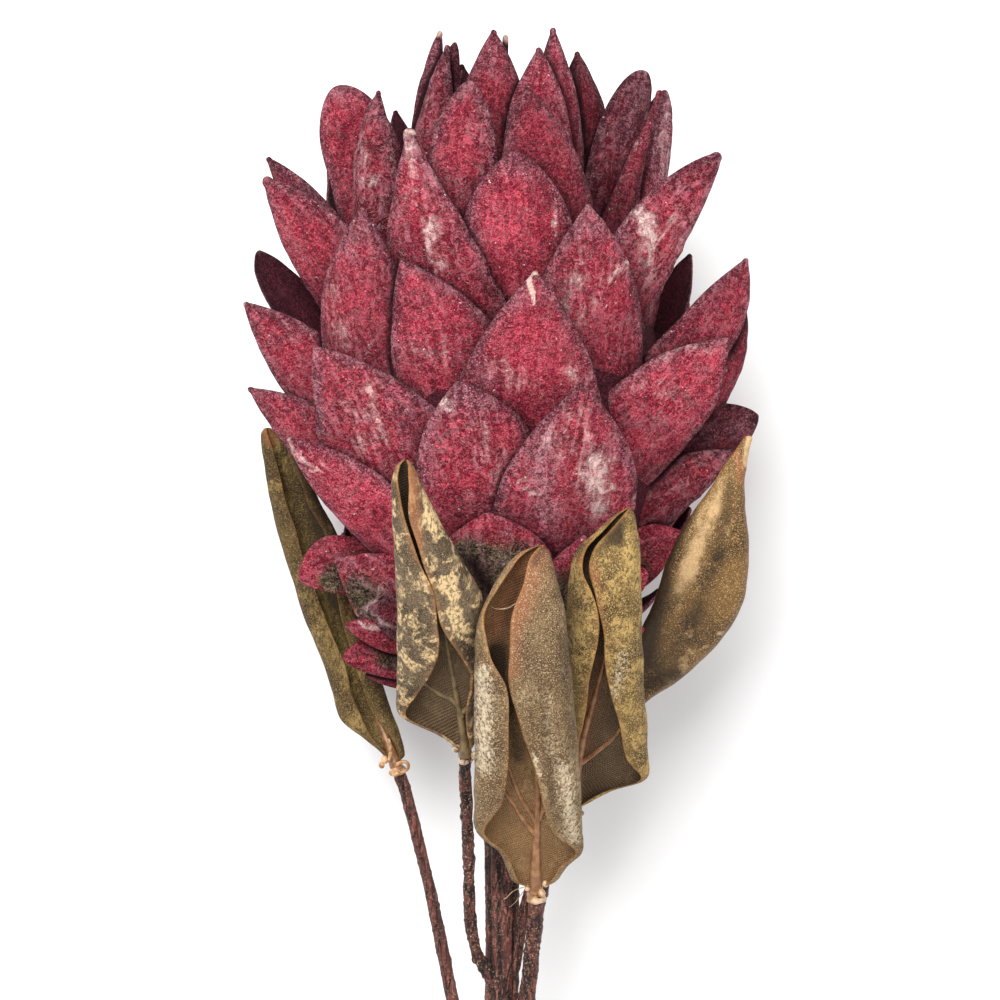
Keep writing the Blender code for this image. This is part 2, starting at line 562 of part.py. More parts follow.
def joint(name):
    """Where a leaf's sleeve begins and the direction in which its branch arrives."""
    _, left, right, _, _, z, _ = LEAVES[name][0]
    blade = np.array([(left + right) / 2, LEAVES[name][0][0], z])
    direction = blade - np.array(BRANCHES[name][0][-1], dtype=float)
    direction /= np.linalg.norm(direction)
    return blade - JOINT_DROP * direction, direction


def leaf(name, rows, counts):
    """A leaf blade with its midrib, which ends below in a round sleeve."""
    stations = LEAVES[name]
    sheet, normal = leaf_sheet(rows, counts, stations)
    half = normal * LEAF_THICKNESS / 2
    blade = closed_blade(lay_down(sheet + half), lay_down(sheet - half), name)
    start, direction = joint(name)
    path = [start, start + 2.2 * direction]
    for y, left, right, _, _, z, depth in stations[3:9:2]:
        middle = start[0] + 0.6 * ((left + right) / 2 - start[0])
        path.append(np.array([middle, y, z]))
    vein = tube(name + "_rib", path, [SLEEVE_RADIUS, 1.7, 1.4, 1.0, 0.6], 6)
    return finish(fuse(name, blade, [vein], solver="MANIFOLD"), OLIVE_BROWN)


def stem():
    """Main stem and its branches as one body."""
    heights = np.array([y for y, _ in STEM])
    path = np.stack([0 * heights, heights, 0 * heights], 1)
    main = tube("stem", path, [r for _, r in STEM], 14)
    branches = []
    for name, (points, radii) in BRANCHES.items():
        start, direction = joint(name)
        points = points + [tuple(start - JOINT_GAP * direction)]
        branches.append(tube("branch_" + name, smooth_through(points, 10),
                             smooth_through([(r,) for r in radii], 10)[:, 0], 8))
    return finish(fuse("stem", main, branches), RED_BROWN_BARK)


def glue(name, seed):
    """An uneven ring of glue round the joint of a leaf and its branch."""
    chance = random.Random(seed)
    start, direction = joint(name)
    centre = start - GLUE_DROP * direction
    first = np.cross(direction, [0.0, 0.0, 1.0])
    first /= np.linalg.norm(first)
    second = np.cross(direction, first)
    around, across = 8, 5
    points, faces = [], []
    for i in range(around):
        turn = 2 * math.pi * i / around
        lump = chance.uniform(0.85, 1.45)
        radial = first * math.cos(turn) + second * math.sin(turn)
        for j in range(across):
            angle = 2 * math.pi * j / across
            reach = GLUE_RING + GLUE_RADIAL * (lump * (1 + math.cos(angle)) - 1)
            points.append(centre + radial * reach
                          + direction * GLUE_AXIAL * math.sin(angle) * chance.uniform(0.8, 1.0))
    for i in range(around):
        for j in range(across):
            a, b = i * across + j, i * across + (j + 1) % across
            c, d = ((i + 1) % around) * across + (j + 1) % across, ((i + 1) % around) * across + j
            faces += [(a, b, c), (a, c, d)]
    return finish(mesh_object(lay_down(points), faces, name.replace("leaf", "glue")), AMBER_GLUE)


for obj in list(bpy.data.objects):
    bpy.data.objects.remove(obj, do_unlink=True)

head()
stem()
for number, leaf_name in enumerate(LEAVES):
    leaf(leaf_name, 12, (1, 4, 2))
    glue(leaf_name, number)
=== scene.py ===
# %% [markdown]
# # A protea stem lying on its back
#
# The object is a decorative protea: a large head of felt-like burgundy bracts in overlapping
# layers, a speckled stem with short branches, and leaves whose margins have rolled over. Every
# surface below is a function of two parameters, worked out with numpy on a grid, so each shape
# can be read as a formula and changed by its numbers.

# %% Load the solid model
import math
import random

import bpy
import numpy as np
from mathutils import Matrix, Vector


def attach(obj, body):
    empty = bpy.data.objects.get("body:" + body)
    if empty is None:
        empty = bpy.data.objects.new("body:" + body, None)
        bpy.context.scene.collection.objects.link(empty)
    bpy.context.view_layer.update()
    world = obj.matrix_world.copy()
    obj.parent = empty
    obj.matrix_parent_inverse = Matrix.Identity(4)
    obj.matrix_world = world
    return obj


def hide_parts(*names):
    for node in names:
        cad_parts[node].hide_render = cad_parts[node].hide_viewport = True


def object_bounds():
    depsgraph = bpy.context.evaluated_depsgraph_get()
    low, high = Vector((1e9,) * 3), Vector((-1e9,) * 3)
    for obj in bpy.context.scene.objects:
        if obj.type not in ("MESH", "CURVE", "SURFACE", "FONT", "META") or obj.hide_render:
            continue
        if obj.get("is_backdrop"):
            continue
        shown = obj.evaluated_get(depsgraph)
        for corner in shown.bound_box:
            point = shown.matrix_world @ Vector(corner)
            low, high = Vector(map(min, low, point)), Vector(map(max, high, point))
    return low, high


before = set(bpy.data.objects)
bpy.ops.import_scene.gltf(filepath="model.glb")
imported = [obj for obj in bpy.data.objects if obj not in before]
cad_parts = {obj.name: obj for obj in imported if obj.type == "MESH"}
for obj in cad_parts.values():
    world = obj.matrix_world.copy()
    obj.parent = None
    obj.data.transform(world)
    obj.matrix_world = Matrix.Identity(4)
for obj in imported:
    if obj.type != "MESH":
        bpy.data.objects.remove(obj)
cad_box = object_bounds()
print("solids:", sorted(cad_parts))

# %% [markdown]
# ## The frame of the head
#
# A flower is easiest to describe upright: x to the right, y along the stem to the tip, z towards
# the side that is looked at, all in millimetres. One function then lays that frame down on its
# back and turns it into metres, the unit of the finished model.

# %% Head frame to object frame
MM = 0.001
TILT = math.radians(10.3)
AXIS_HEIGHT = 55.4
CENTRE_X, CENTRE_Y = -0.065, -80.02


def lay_down(points):
    """Turns the head frame by TILT about x, lifts its axis to AXIS_HEIGHT and centres it."""
    p = np.asarray(points, dtype=float)
    c, s = math.cos(TILT), math.sin(TILT)
    x = p[..., 0] - CENTRE_X
    y = p[..., 1] * c - p[..., 2] * s - CENTRE_Y
    z = p[..., 1] * s + p[..., 2] * c + AXIS_HEIGHT * c
    return np.stack([x, y, z], -1) * MM


print("the tip of the head lies at", np.round(lay_down((0, 120, 0)), 4))

# %% [markdown]
# ## Uneven growth
#
# Nothing on a flower is quite smooth. A sum of sine waves that run in random directions gives
# soft swellings of any size, is cheap on whole arrays, and comes out the same on every run.


# %% Swellings and smooth curves
def swell(points, size, seed, waves=10):
    """Height of about -1 to 1: a sum of sine waves about size mm long in random directions."""
    chance = np.random.default_rng(seed)
    way = chance.normal(size=(waves, 3))
    way /= np.linalg.norm(way, axis=1)[:, None]
    way *= 2 * math.pi / (size * chance.uniform(0.7, 1.5, (waves, 1)))
    phase = chance.uniform(0, 2 * math.pi, waves)
    return np.sin(np.asarray(points) @ way.T + phase).sum(-1) * (1.5 / waves)


def smooth_through(stations, count):
    """Evenly spaced rows on the cubic curve through the stations, its slopes their differences."""
    rows = np.asarray(stations, dtype=float)
    t = np.linspace(0, len(rows) - 1, count)
    slope = np.gradient(rows, axis=0)
    i = np.clip(np.floor(t).astype(int), 0, len(rows) - 2)
    f = (t - i)[:, None]
    return ((2 * f ** 3 - 3 * f ** 2 + 1) * rows[i] + (f ** 3 - 2 * f ** 2 + f) * slope[i]
            + (-2 * f ** 3 + 3 * f ** 2) * rows[i + 1] + (f ** 3 - f ** 2) * slope[i + 1])


def marks(rows, x, y):
    """Sum of soft strokes (x0, y0, x1, y1, width, amount), each full along its line."""
    total = np.zeros(np.broadcast(x, y).shape)
    for x0, y0, x1, y1, width, amount in rows:
        run_x, run_y = x1 - x0, y1 - y0
        t = np.clip(((x - x0) * run_x + (y - y0) * run_y) / max(run_x ** 2 + run_y ** 2, 1e-9), 0, 1)
        away = np.hypot(x - x0 - t * run_x, y - y0 - t * run_y)
        total = total + amount * np.exp(-(away / width) ** 2)
    return total


# %% [markdown]
# ## Two kinds of skin
#
# A blade is a thin sheet with two faces that meet in a rounded margin, and a tube is a ring
# carried along a path. Both are grids of points, so their faces follow one rule: each square of
# four neighbouring points is a face. Several skins can share a mesh, which keeps the bracts of
# one layer together as one piece.


# %% Blades and tubes from grids
def blade_skin(outer, inner, values):
    """Closed skin between two (rows, columns, 3) grids that meet in their outer columns."""
    rows, columns = outer.shape[:2]
    ring = np.concatenate([outer, inner[:, -2:0:-1]], 1)
    around = ring.shape[1]
    i, j = np.meshgrid(np.arange(rows - 1), np.arange(around), indexing="ij")
    k = (j + 1) % around
    quads = np.stack([i * around + j, i * around + k, (i + 1) * around + k,
                      (i + 1) * around + j], -1)
    m, last, n = np.arange(1, columns - 2), (rows - 1) * around, columns - 1
    cap = np.stack([m, m + 1, around - m - 1, around - m], -1)
    ends = np.array([[0, 1, around - 1], [n - 1, n, n + 1]])
    both = {name: np.concatenate([np.broadcast_to(a, (rows, columns)),
                                  np.broadcast_to(b, (rows, columns))[:, -2:0:-1]], 1).ravel()
            for name, (a, b) in values.items()}
    return dict(points=ring.reshape(-1, 3), values=both,
                quads=np.concatenate([quads.reshape(-1, 4), cap, last + cap[:, ::-1]]),
                tris=np.concatenate([ends, last + ends[:, ::-1]]),
                look=np.concatenate([(j >= n).astype(int).ravel(), np.zeros(2 * len(cap) + 4, int)]))


def tube_skin(rings, values=None, look=0, end_look=None):
    """Closed skin of a (rows, sides, 3) grid of rings, each end closed to its middle point."""
    rows, sides = rings.shape[:2]
    i, j = np.meshgrid(np.arange(rows - 1), np.arange(sides), indexing="ij")
    k = (j + 1) % sides
    quads = np.stack([i * sides + j, i * sides + k, (i + 1) * sides + k,
                      (i + 1) * sides + j], -1).reshape(-1, 4)
    j, pole, last = np.arange(sides), rows * sides, (rows - 1) * sides
    k = (j + 1) % sides
    tris = np.concatenate([np.stack([k, j, 0 * j + pole], -1),
                           np.stack([last + j, last + k, 0 * j + pole + 1], -1)])
    spread = {name: np.broadcast_to(a, (rows, sides)) for name, a in (values or {}).items()}
    return dict(points=np.concatenate([rings.reshape(-1, 3), rings[[0, -1]].mean(1)]),
                quads=quads, tris=tris,
                values={name: np.concatenate([a.ravel(), a[[0, -1]].mean(1)])
                        for name, a in spread.items()},
                look=np.concatenate([np.full(len(quads), look),
                                     np.full(len(tris), look if end_look is None else end_look)]))


def turned_outward(points, quads, tris):
    """The same faces, turned over where the volume that they enclose comes out negative."""
    corners = np.concatenate([quads[:, :3], quads[:, [0, 2, 3]], tris])
    a, b, c = points[corners[:, 0]], points[corners[:, 1]], points[corners[:, 2]]
    if np.einsum("ij,ij->i", a - points[0], np.cross(b - points[0], c - points[0])).sum() < 0:
        return quads[:, ::-1], tris[:, ::-1]
    return quads, tris


# %% [markdown]
# ## From skins to a piece
#
# A piece is one mesh object. Each point also carries a few plain numbers, such as how near it is
# to a margin or how much pale wear it has, and the materials read them by name.


# %% Build a piece
def piece(name, skins, materials, slot, *nodes):
    """One object from skins whose points are in metres where the object lies."""
    points, faces, looks, values, start = [], [], [], {}, 0
    names = sorted({key for skin in skins for key in skin["values"]})
    for skin in skins:
        quads, tris = turned_outward(skin["points"], skin["quads"], skin["tris"])
        points.append(skin["points"])
        faces += (quads + start).tolist() + (tris + start).tolist()
        looks.append(skin["look"])
        for key in names:
            values.setdefault(key, []).append(skin["values"].get(key, np.zeros(len(skin["points"]))))
        start += len(skin["points"])
    mesh = bpy.data.meshes.new(name)
    mesh.from_pydata(np.concatenate(points).tolist(), [], faces)
    mesh.polygons.foreach_set("material_index", np.concatenate(looks).astype(np.int32))
    for key in names:
        store = mesh.attributes.new(key, "FLOAT", "POINT")
        store.data.foreach_set("value", np.concatenate(values[key]).astype(np.float32))
    for material in materials:
        mesh.materials.append(material)
    mesh.shade_smooth()
    mesh.update()
    obj = bpy.data.objects.new(name, mesh)
    bpy.context.scene.collection.objects.link(obj)
    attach(obj, "root")
    for node in nodes:
        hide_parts(node)
    print(name, sum(len(f) - 2 for f in faces), "triangles")


# %% [markdown]
# ## Small tools for materials
#
# A procedural material is a graph of nodes. These helpers keep its recipe short: one adds a node
# and connects it in the same line, the others mix two colours, do one sum, or stretch a range.


# %% Node helpers
def is_socket(value):
    """Whether a value comes out of a node, and so can be linked."""
    return isinstance(value, bpy.types.NodeSocket)


def tree_of(*values):
    """Node tree of the first of the values that comes out of a node."""
    return next(value.id_data for value in values if is_socket(value))


def plug(tree, found, value):
    """Links a node's output to the input that was found, or sets that input to a plain value."""
    if is_socket(value):
        tree.links.new(value, found)
    else:
        found.default_value = value


def add(tree, kind, out=0, settings=None, **sockets):
    """Adds a node, sets or links its inputs by name (i0, i1 for numbered), gives one output."""
    made = tree.nodes.new(kind)
    for key, value in (settings or {}).items():
        setattr(made, key, value)
    for key, value in sockets.items():
        known = key[1:].isdigit()
        plug(tree, made.inputs[int(key[1:]) if known else key.replace("_", " ")], value)
    return made.outputs[out]


def mix(a, b, factor):
    """Colour a where factor is 0, colour b where it is 1."""
    tree = tree_of(factor, a, b)
    made = tree.nodes.new("ShaderNodeMix")
    made.data_type = "RGBA"
    for index, value in ((0, factor), (6, a), (7, b)):
        plug(tree, made.inputs[index], (*value, 1) if index and not is_socket(value) else value)
    return made.outputs[2]


def maths(operation, a, b=0.0, clamp=False):
    """One sum on two values."""
    return add(tree_of(a, b), "ShaderNodeMath",
               settings=dict(operation=operation, use_clamp=clamp), i0=a, i1=b)


def plus(a, b, clamp=False):
    """a + b."""
    return maths("ADD", a, b, clamp)


def minus(a, b):
    """a - b."""
    return maths("SUBTRACT", a, b)


def times(a, b, clamp=False):
    """a times b."""
    return maths("MULTIPLY", a, b, clamp)


def off_middle(value):
    """Distance of a value from 0.5, which is small along the thin winding lines of a noise."""
    return maths("ABSOLUTE", minus(value, 0.5))


def ramp(value, low, high, to_low=0.0, to_high=1.0):
    """Stretches low..high to to_low..to_high with soft ends."""
    return add(tree_of(value), "ShaderNodeMapRange", settings=dict(interpolation_type="SMOOTHSTEP"),
               Value=value, From_Min=low, From_Max=high, To_Min=to_low, To_Max=to_high)


def noise(vector, scale, detail=2.0, rough=0.55, twist=0.0):
    """Soft random values of about 0.5, in clouds about 1/scale metres wide."""
    return add(tree_of(vector), "ShaderNodeTexNoise", Vector=vector, Scale=scale, Detail=detail,
               Roughness=rough, Distortion=twist)


def drawn_out(place, along):
    """Coordinates squeezed along the stem, so that a noise on them is drawn out that way."""
    return add(tree_of(place), "ShaderNodeVectorMath", settings=dict(operation="MULTIPLY"),
               i0=place, i1=(1.0, along, 1.0))


def carried(tree, name):
    """A number that each point of the mesh carries."""
    return add(tree, "ShaderNodeAttribute", out="Fac", settings=dict(attribute_name=name))


def new_group(name, inputs, outputs):
    """Empty node group: inputs are (name, kind, default), outputs are names of values."""
    tree = bpy.data.node_groups.new(name, "ShaderNodeTree")
    for socket, kind, default in inputs:
        made = tree.interface.new_socket(socket, in_out="INPUT", socket_type="NodeSocket" + kind)
        if default is not None:
            made.default_value = default
    for socket in outputs:
        tree.interface.new_socket(socket, in_out="OUTPUT", socket_type="NodeSocketFloat")
    return tree, tree.nodes.new("NodeGroupInput").outputs, tree.nodes.new("NodeGroupOutput").inputs


def use(tree, group, **sockets):
    """Places a node group in a material and gives its outputs."""
    made = tree.nodes.new("ShaderNodeGroup")
    made.node_tree = group
    for key, value in sockets.items():
        plug(tree, made.inputs[key], value)
    return made.outputs


def new_material(name, **fixed):
    """Material with a Principled shader whose constant inputs are set: (material, tree, shader)."""
    material = bpy.data.materials.new(name)
    material.use_nodes = True
    shader = material.node_tree.nodes["Principled BSDF"]
    for key, value in fixed.items():
        shader.inputs[key.replace("_", " ")].default_value = value
    return material, material.node_tree, shader


def dress(shader, colour, height, strength, depth):
    """Gives a shader its colour and a relief: bump of this strength, depth in metres."""
    tree = shader.id_data
    tree.links.new(colour, shader.inputs["Base Color"])
    tree.links.new(add(tree, "ShaderNodeBump", Strength=strength, Distance=depth, Height=height),
                   shader.inputs["Normal"])


# %% [markdown]
# ## Pile: a speckled, fibrous nap
#
# Flock and felt scatter light from thousands of short fibres, so from a step away the surface
# looks sprinkled with lighter and darker points and a few curly threads. Two noises give both:
# a fine one cut hard for the points, and a twisted one whose middle values run along thin lines.

# %% Pile group
pile, given, made = new_group("pile", [("Vector", "Vector", None), ("Size", "Float", 0.5)],
                              ["Speckle", "Fibre", "Height"])
per_metre = maths("DIVIDE", 1000.0, given["Size"])
fine = noise(given["Vector"], per_metre, 2.0, 0.6)
coarse = noise(given["Vector"], times(per_metre, 0.42), 2.0, 0.6)
blend = plus(times(fine, 0.7), times(coarse, 0.3))
speckle = ramp(blend, 0.40, 0.62)
curly = noise(given["Vector"], times(per_metre, 0.3), 1.0, 0.5, 2.2)
fibre = ramp(off_middle(curly), 0.045, 0.0)
relief = plus(times(speckle, 0.6), times(fibre, 0.5))
for socket, value in (("Speckle", speckle), ("Fibre", fibre), ("Height", relief)):
    pile.links.new(value, made[socket])
print("group", pile.name)

# %% [markdown]
# ## Patches: where a finish is worn, faded or stained
#
# One cloud noise cut at a height that depends on how much should be covered. A broad softness
# gives a gradual change of shade, a narrow one gives blots with a clear edge.

# %% Patches group
patches, given, made = new_group(
    "patches", [("Vector", "Vector", None), ("Size", "Float", 10.0), ("Cover", "Float", 0.5),
                ("Softness", "Float", 0.1)], ["Mask"])
cloud = noise(given["Vector"], maths("DIVIDE", 1000.0, given["Size"]), 4.0, 0.6, 0.4)
edge = minus(0.68, times(given["Cover"], 0.36))
mask = ramp(cloud, minus(edge, given["Softness"]), plus(edge, given["Softness"]))
patches.links.new(mask, made["Mask"])
print("group", patches.name)

# %% [markdown]
# ## The felt of the bracts
#
# A deep crimson felt has been rubbed with something pale: pink on the nap, mauve-grey towards
# the margins, nearly white in a few worn places, and cream where a tip has curled. The mesh
# carries where those places are, and noise breaks their edges up so that no edge is drawn. A noise
# that is drawn out along each bract gives the nap a grain. Fine wrinkles get a pale line, partly
# pale dust and partly painted highlight, and painted shadow on the other side; the creases are
# painted darker in their valleys and lighter on their ridges. The margins are darker, partly a
# rubbed rim and partly painted shade where the bract curves away, and painted shade darkens the
# foot of each bract and lies beside the margins of the bracts over it. The inside is the same felt
# darkened with painted shade.


# %% Felt materials
def three_tones(value, dark, middle, light):
    """Colour ramp of three tones, at 0.15, 0.5 and 0.85 of the value."""
    tree = tree_of(value)
    made = tree.nodes.new("ShaderNodeValToRGB")
    stops = made.color_ramp.elements
    stops.new(0.5)
    for stop, place, tone in zip(stops, (0.15, 0.5, 0.85), (dark, middle, light)):
        stop.position, stop.color = place, (*tone, 1.0)
    tree.links.new(value, made.inputs[0])
    return made.outputs[0]


def ragged(amount, grain, depth, soft=0.25):
    """Carried amount with a ragged border: noise of about 0.5 is added before it is cut."""
    rough = times(minus(grain, 0.5), depth)
    shown = ramp(plus(amount, rough), 0.5 - soft, 0.5 + soft)
    return times(shown, ramp(amount, 0.0, 0.15))


def bract_felt(name, inside=False):
    """Felt with a darker margin, partly rubbed and partly painted shade, pale wear and cream tips; the inside
    is plainer and darkened with painted shade.
    """
    material, tree, shader = new_material(name, Roughness=0.95, Specular_IOR_Level=0.12)
    place = add(tree, "ShaderNodeTexCoord", out="Object")
    nap = use(tree, pile, Vector=place, Size=0.40)
    broad = use(tree, patches, Vector=place, Size=16.0, Cover=0.5, Softness=0.2)["Mask"]
    middle = use(tree, patches, Vector=place, Size=4.5, Cover=0.5, Softness=0.16)["Mask"]
    lines = noise(place, 330.0, 3.0, 0.6, 1.2)
    crinkle = ramp(off_middle(lines), 0.03, 0.0)
    threads = noise(place, 900.0, 2.0, 0.55, 1.8)
    web = ramp(off_middle(threads), 0.07, 0.01)
    creases = noise(place, 620.0, 4.0, 0.68, 1.0)
    strand = add(tree, "ShaderNodeCombineXYZ", X=carried(tree, "across"),
                 Y=times(carried(tree, "along"), 0.2), Z=carried(tree, "own"))
    streaks = noise(strand, 600.0, 3.0, 0.6, 0.5)
    torn = plus(times(creases, 0.45), times(streaks, 0.55))
    crumple = carried(tree, "crumple")

    areas = use(tree, patches, Vector=place, Size=7.0, Cover=0.55, Softness=0.10)["Mask"]
    cloudy = plus(times(broad, 0.24), times(middle, 0.10))
    shade = plus(times(nap["Speckle"], 0.58), cloudy)
    # painted shade and light of the creases: darker in their valleys, lighter on their ridges
    painted_relief_shade = times(minus(creases, 0.49), plus(crumple, 0.6))
    shade = plus(shade, times(painted_relief_shade, 1.7))
    shade = plus(shade, times(minus(streaks, 0.5), 0.75))
    colour = three_tones(shade, (0.120, 0.004, 0.013), (0.345, 0.021, 0.044), (0.640, 0.088, 0.124))
    dusty = three_tones(shade, (0.075, 0.018, 0.030), (0.270, 0.078, 0.106), (0.640, 0.300, 0.345))
    colour = mix(colour, dusty, times(ragged(carried(tree, "mauve"), lines, 0.6, 0.5), 0.9))
    # rim: darker towards the margins, partly a darker rubbed rim and partly painted shade where the bract
    # curves away
    deep = three_tones(shade, (0.050, 0.006, 0.014), (0.165, 0.032, 0.050), (0.460, 0.165, 0.195))
    colour = mix(colour, deep, ragged(carried(tree, "rim"), lines, 0.5, 0.5))
    mossy = three_tones(shade, (0.006, 0.007, 0.003), (0.045, 0.044, 0.016), (0.230, 0.200, 0.100))
    colour = mix(colour, mossy, ragged(carried(tree, "green"), lines, 0.5, 0.4))
    colour = mix(colour, (0.80, 0.34, 0.40), times(nap["Fibre"], 0.24))
    # pale wrinkle lines: partly pale dust, partly painted highlight on the ridges
    wrinkled = times(crinkle, ramp(areas, 0.0, 1.0, 0.2, 1.0))
    colour = mix(colour, (0.80, 0.44, 0.44), times(wrinkled, plus(times(crumple, 0.8), 0.10)))
    dust = times(ramp(torn, 0.48, 0.58), times(areas, crumple))
    colour = mix(colour, (0.66, 0.29, 0.35), times(dust, 0.65))
    # painted shadow on the far side of each wrinkle
    painted_wrinkle_shadow = times(ramp(lines, 0.53, 0.56), ramp(lines, 0.62, 0.57))
    painted_wrinkle_shadow = times(painted_wrinkle_shadow, times(areas, plus(crumple, 0.15)))
    colour = mix(colour, (0.060, 0.008, 0.018), times(painted_wrinkle_shadow, 0.8, clamp=True))
    frost = carried(tree, "frost")
    thick = plus(times(web, 0.6), ramp(lines, 0.42, 0.58, 0.0, 0.6))
    thick = plus(thick, ramp(frost, 0.7, 1.0, 0.05, 0.3))
    worn = times(ragged(frost, torn, 2.4, 0.4), thick, clamp=True)
    colour = mix(colour, (0.82, 0.56, 0.53), worn)
    colour = mix(colour, (0.78, 0.54, 0.46), ragged(carried(tree, "cream"), torn, 1.6))
    lint = ramp(noise(place, 800.0, 2.0, 0.6), 0.715, 0.74)
    colour = mix(colour, (0.86, 0.64, 0.62), times(lint, 0.8))
    edge = times(carried(tree, "edge"), ramp(lines, 0.3, 0.6, 1.0, 0.2))
    colour = mix(colour, (0.035, 0.008, 0.012), times(edge, 0.4))
    # painted shadow: near black beside the margins of bracts that lie over this one, and in dark hollows
    colour = mix(colour, (0.016, 0.002, 0.005), carried(tree, "crevice"))
    # the inside is the same felt darkened with painted shade
    if inside:
        dark = mix((0.020, 0.004, 0.009), (0.070, 0.016, 0.028), nap["Speckle"])
        colour = mix(colour, dark, 0.8)
    # tone scales brightness: the bract's own tone times painted shade towards its foot
    tone = tree.nodes.new("ShaderNodeHueSaturation")
    tree.links.new(colour, tone.inputs["Color"])
    tree.links.new(carried(tree, "tone"), tone.inputs["Value"])
    height = plus(times(nap["Height"], 0.45), times(wrinkled, plus(crumple, 0.3)))
    height = plus(height, times(creases, plus(crumple, 0.9)))
    dress(shader, tone.outputs[0], height, 1.0, 0.0007)
    return material


felt, felt_inside = bract_felt("bract_felt"), bract_felt("bract_felt_inside", inside=True)
print("materials:", felt.name, felt_inside.name)

# %% [markdown]
# ## The form of one bract
#
# A bract grows from inside the head and bends out to its tip. Its spine is a parabola in the
# plane through the flower's axis, set by the root, the tip, and a point before the tip in the
# direction in which the tip splays. Across the spine the blade bends round a cylinder. Its half
# width swells from the foot to the widest place and then falls as a cosine to a small round tip.


# %% Form of a bract
BRACT_THICKNESS, BRACT_EDGE = 1.3, 0.95
MARGIN_ROUND = 0.6
FLOOR_SKIN = 1.1
WANDER_SIZE, BROAD_SIZE, SMALL_SIZE, RIDGE_SIZE = 13, 17, 6.0, 7.5
STRAY, STRAY_SIZE = 1.2, 4.5
GAP_SHADOW_LEAD, GAP_SHADOW_DEPTH, FAR = 0.4, 0.085, 99.0
ROOT_LINE = [(-46.0, 9.0), (-38.0, 18.0), (-20.0, 24.0), (0.0, 28.0), (25.0, 30.0),
             (50.0, 26.0), (68.0, 18.0), (82.0, 8.0), (88.0, 2.0)]


def near_angle(angle, other):
    """The same angle in degrees, less than half a turn from the other."""
    return other + (angle - other + 180) % 360 - 180


def bract_sheet(u, v, tip, root, width, splay, face=None, cup=None, widest=0.48, foot=0.55,
                point=1.6, soft=0.9, hook=0.0, skew=0.0, keel=0.0, blunt=0.85, seed=0):
    """Middle surface at all pairs of v (0 root, 1 tip) and u (-1, 1 margins).

    Gives the points, the normals, half the width and the length that is left to the tip.
    """
    azimuth = math.degrees(math.atan2(tip[0], tip[2]))
    radius = math.hypot(tip[0], tip[2])
    face = azimuth if face is None else near_angle(face, azimuth)
    cup = 0.85 * radius if cup is None else cup
    start = np.array([np.interp(root[1], *zip(*ROOT_LINE)), root[1]])
    end = np.array([radius, tip[1]])
    lean, length = math.radians(splay), np.linalg.norm(end - start)
    middle = end - 0.62 * length * np.array([math.sin(lean), math.cos(lean)])
    w = v[:, None]
    line = (1 - w) ** 2 * start + 2 * w * (1 - w) * middle + w ** 2 * end
    line[:, 0] += hook * np.clip((v - 0.75) / 0.25, 0, 1) ** 2
    root_azimuth = near_angle(root[0], azimuth)
    turn = np.radians(root_azimuth + (azimuth - root_azimuth) * v ** 1.2)
    spine = np.stack([line[:, 0] * np.sin(turn), line[:, 1], line[:, 0] * np.cos(turn)], 1)
    along = np.gradient(spine, v, axis=0)
    along /= np.linalg.norm(along, axis=1)[:, None]
    facing = turn + (math.radians(face) - turn) * np.clip(v * 2.2, 0, 1)
    outward = np.stack([np.sin(facing), 0 * facing, np.cos(facing)], 1)
    side = np.cross(along, outward)
    side /= np.linalg.norm(side, axis=1)[:, None]
    out = np.cross(side, along)

    below, above = np.clip(v / widest, 0, 1), np.clip((v - widest) / (1 - widest), 0, 1)
    half = width / 2 * np.where(v < widest, foot + (1 - foot) * np.sin(math.pi / 2 * below),
                                np.clip(np.cos(math.pi / 2 * above ** point), 0, 1) ** soft)
    to_tip = (1 - v) * length * 1.15
    cap = np.sqrt(np.clip(blunt ** 2 - np.clip(blunt - to_tip, 0, None) ** 2, 0.01, None))
    half = np.maximum(half, cap)[:, None]
    heights = np.stack([spine[:, 1], 0 * v, 0 * v], -1)
    left, right = [swell(heights, WANDER_SIZE, seed + k, 6)[:, None] for k in (1, 2)]
    wander = np.where(u < 0, left, right)
    half = half * (1 + 0.035 * wander) * (1 + skew * np.sign(u))
    bend = half * u[None, :] / cup
    sheet = (spine[:, None, :] + side[:, None, :] * (cup * np.sin(bend))[..., None]
             - out[:, None, :] * (cup * (1 - np.cos(bend)))[..., None])
    normal = out[:, None, :] * np.cos(bend)[..., None] + side[:, None, :] * np.sin(bend)[..., None]
    ridge = np.sqrt((half * u[None, :]) ** 2 + 1.0) - 1.0
    sheet = sheet - out[:, None, :] * (keel * ridge)[..., None]
    return sheet, normal, half, to_tip[:, None]


def crevice(sheet, margins):
    """Painted shadow beside margins close in front of the sheet: exp(-(d/0.8)^2) and a wider fall."""
    near = np.full(sheet.shape[:2], FAR)
    low, high = sheet.min((0, 1)) - 5, sheet.max((0, 1)) + 5
    for line in margins:
        if (line.max(0) < low)[:2].any() or (line.min(0) > high)[:2].any():
            continue
        deep = GAP_SHADOW_DEPTH * (line[:, 2] - sheet[..., 2, None])
        beside = np.hypot(sheet[..., None, 0] - line[:, 0], sheet[..., None, 1] - line[:, 1])
        away = np.hypot(beside, deep)
        in_front = line[:, 2] > sheet[..., 2, None] + GAP_SHADOW_LEAD
        near = np.minimum(near, np.where(in_front, away, FAR).min(-1))
    return np.clip(0.85 * np.exp(-(near / 0.8) ** 2) + 0.45 * np.exp(-near / 2.6), 0, 0.95)


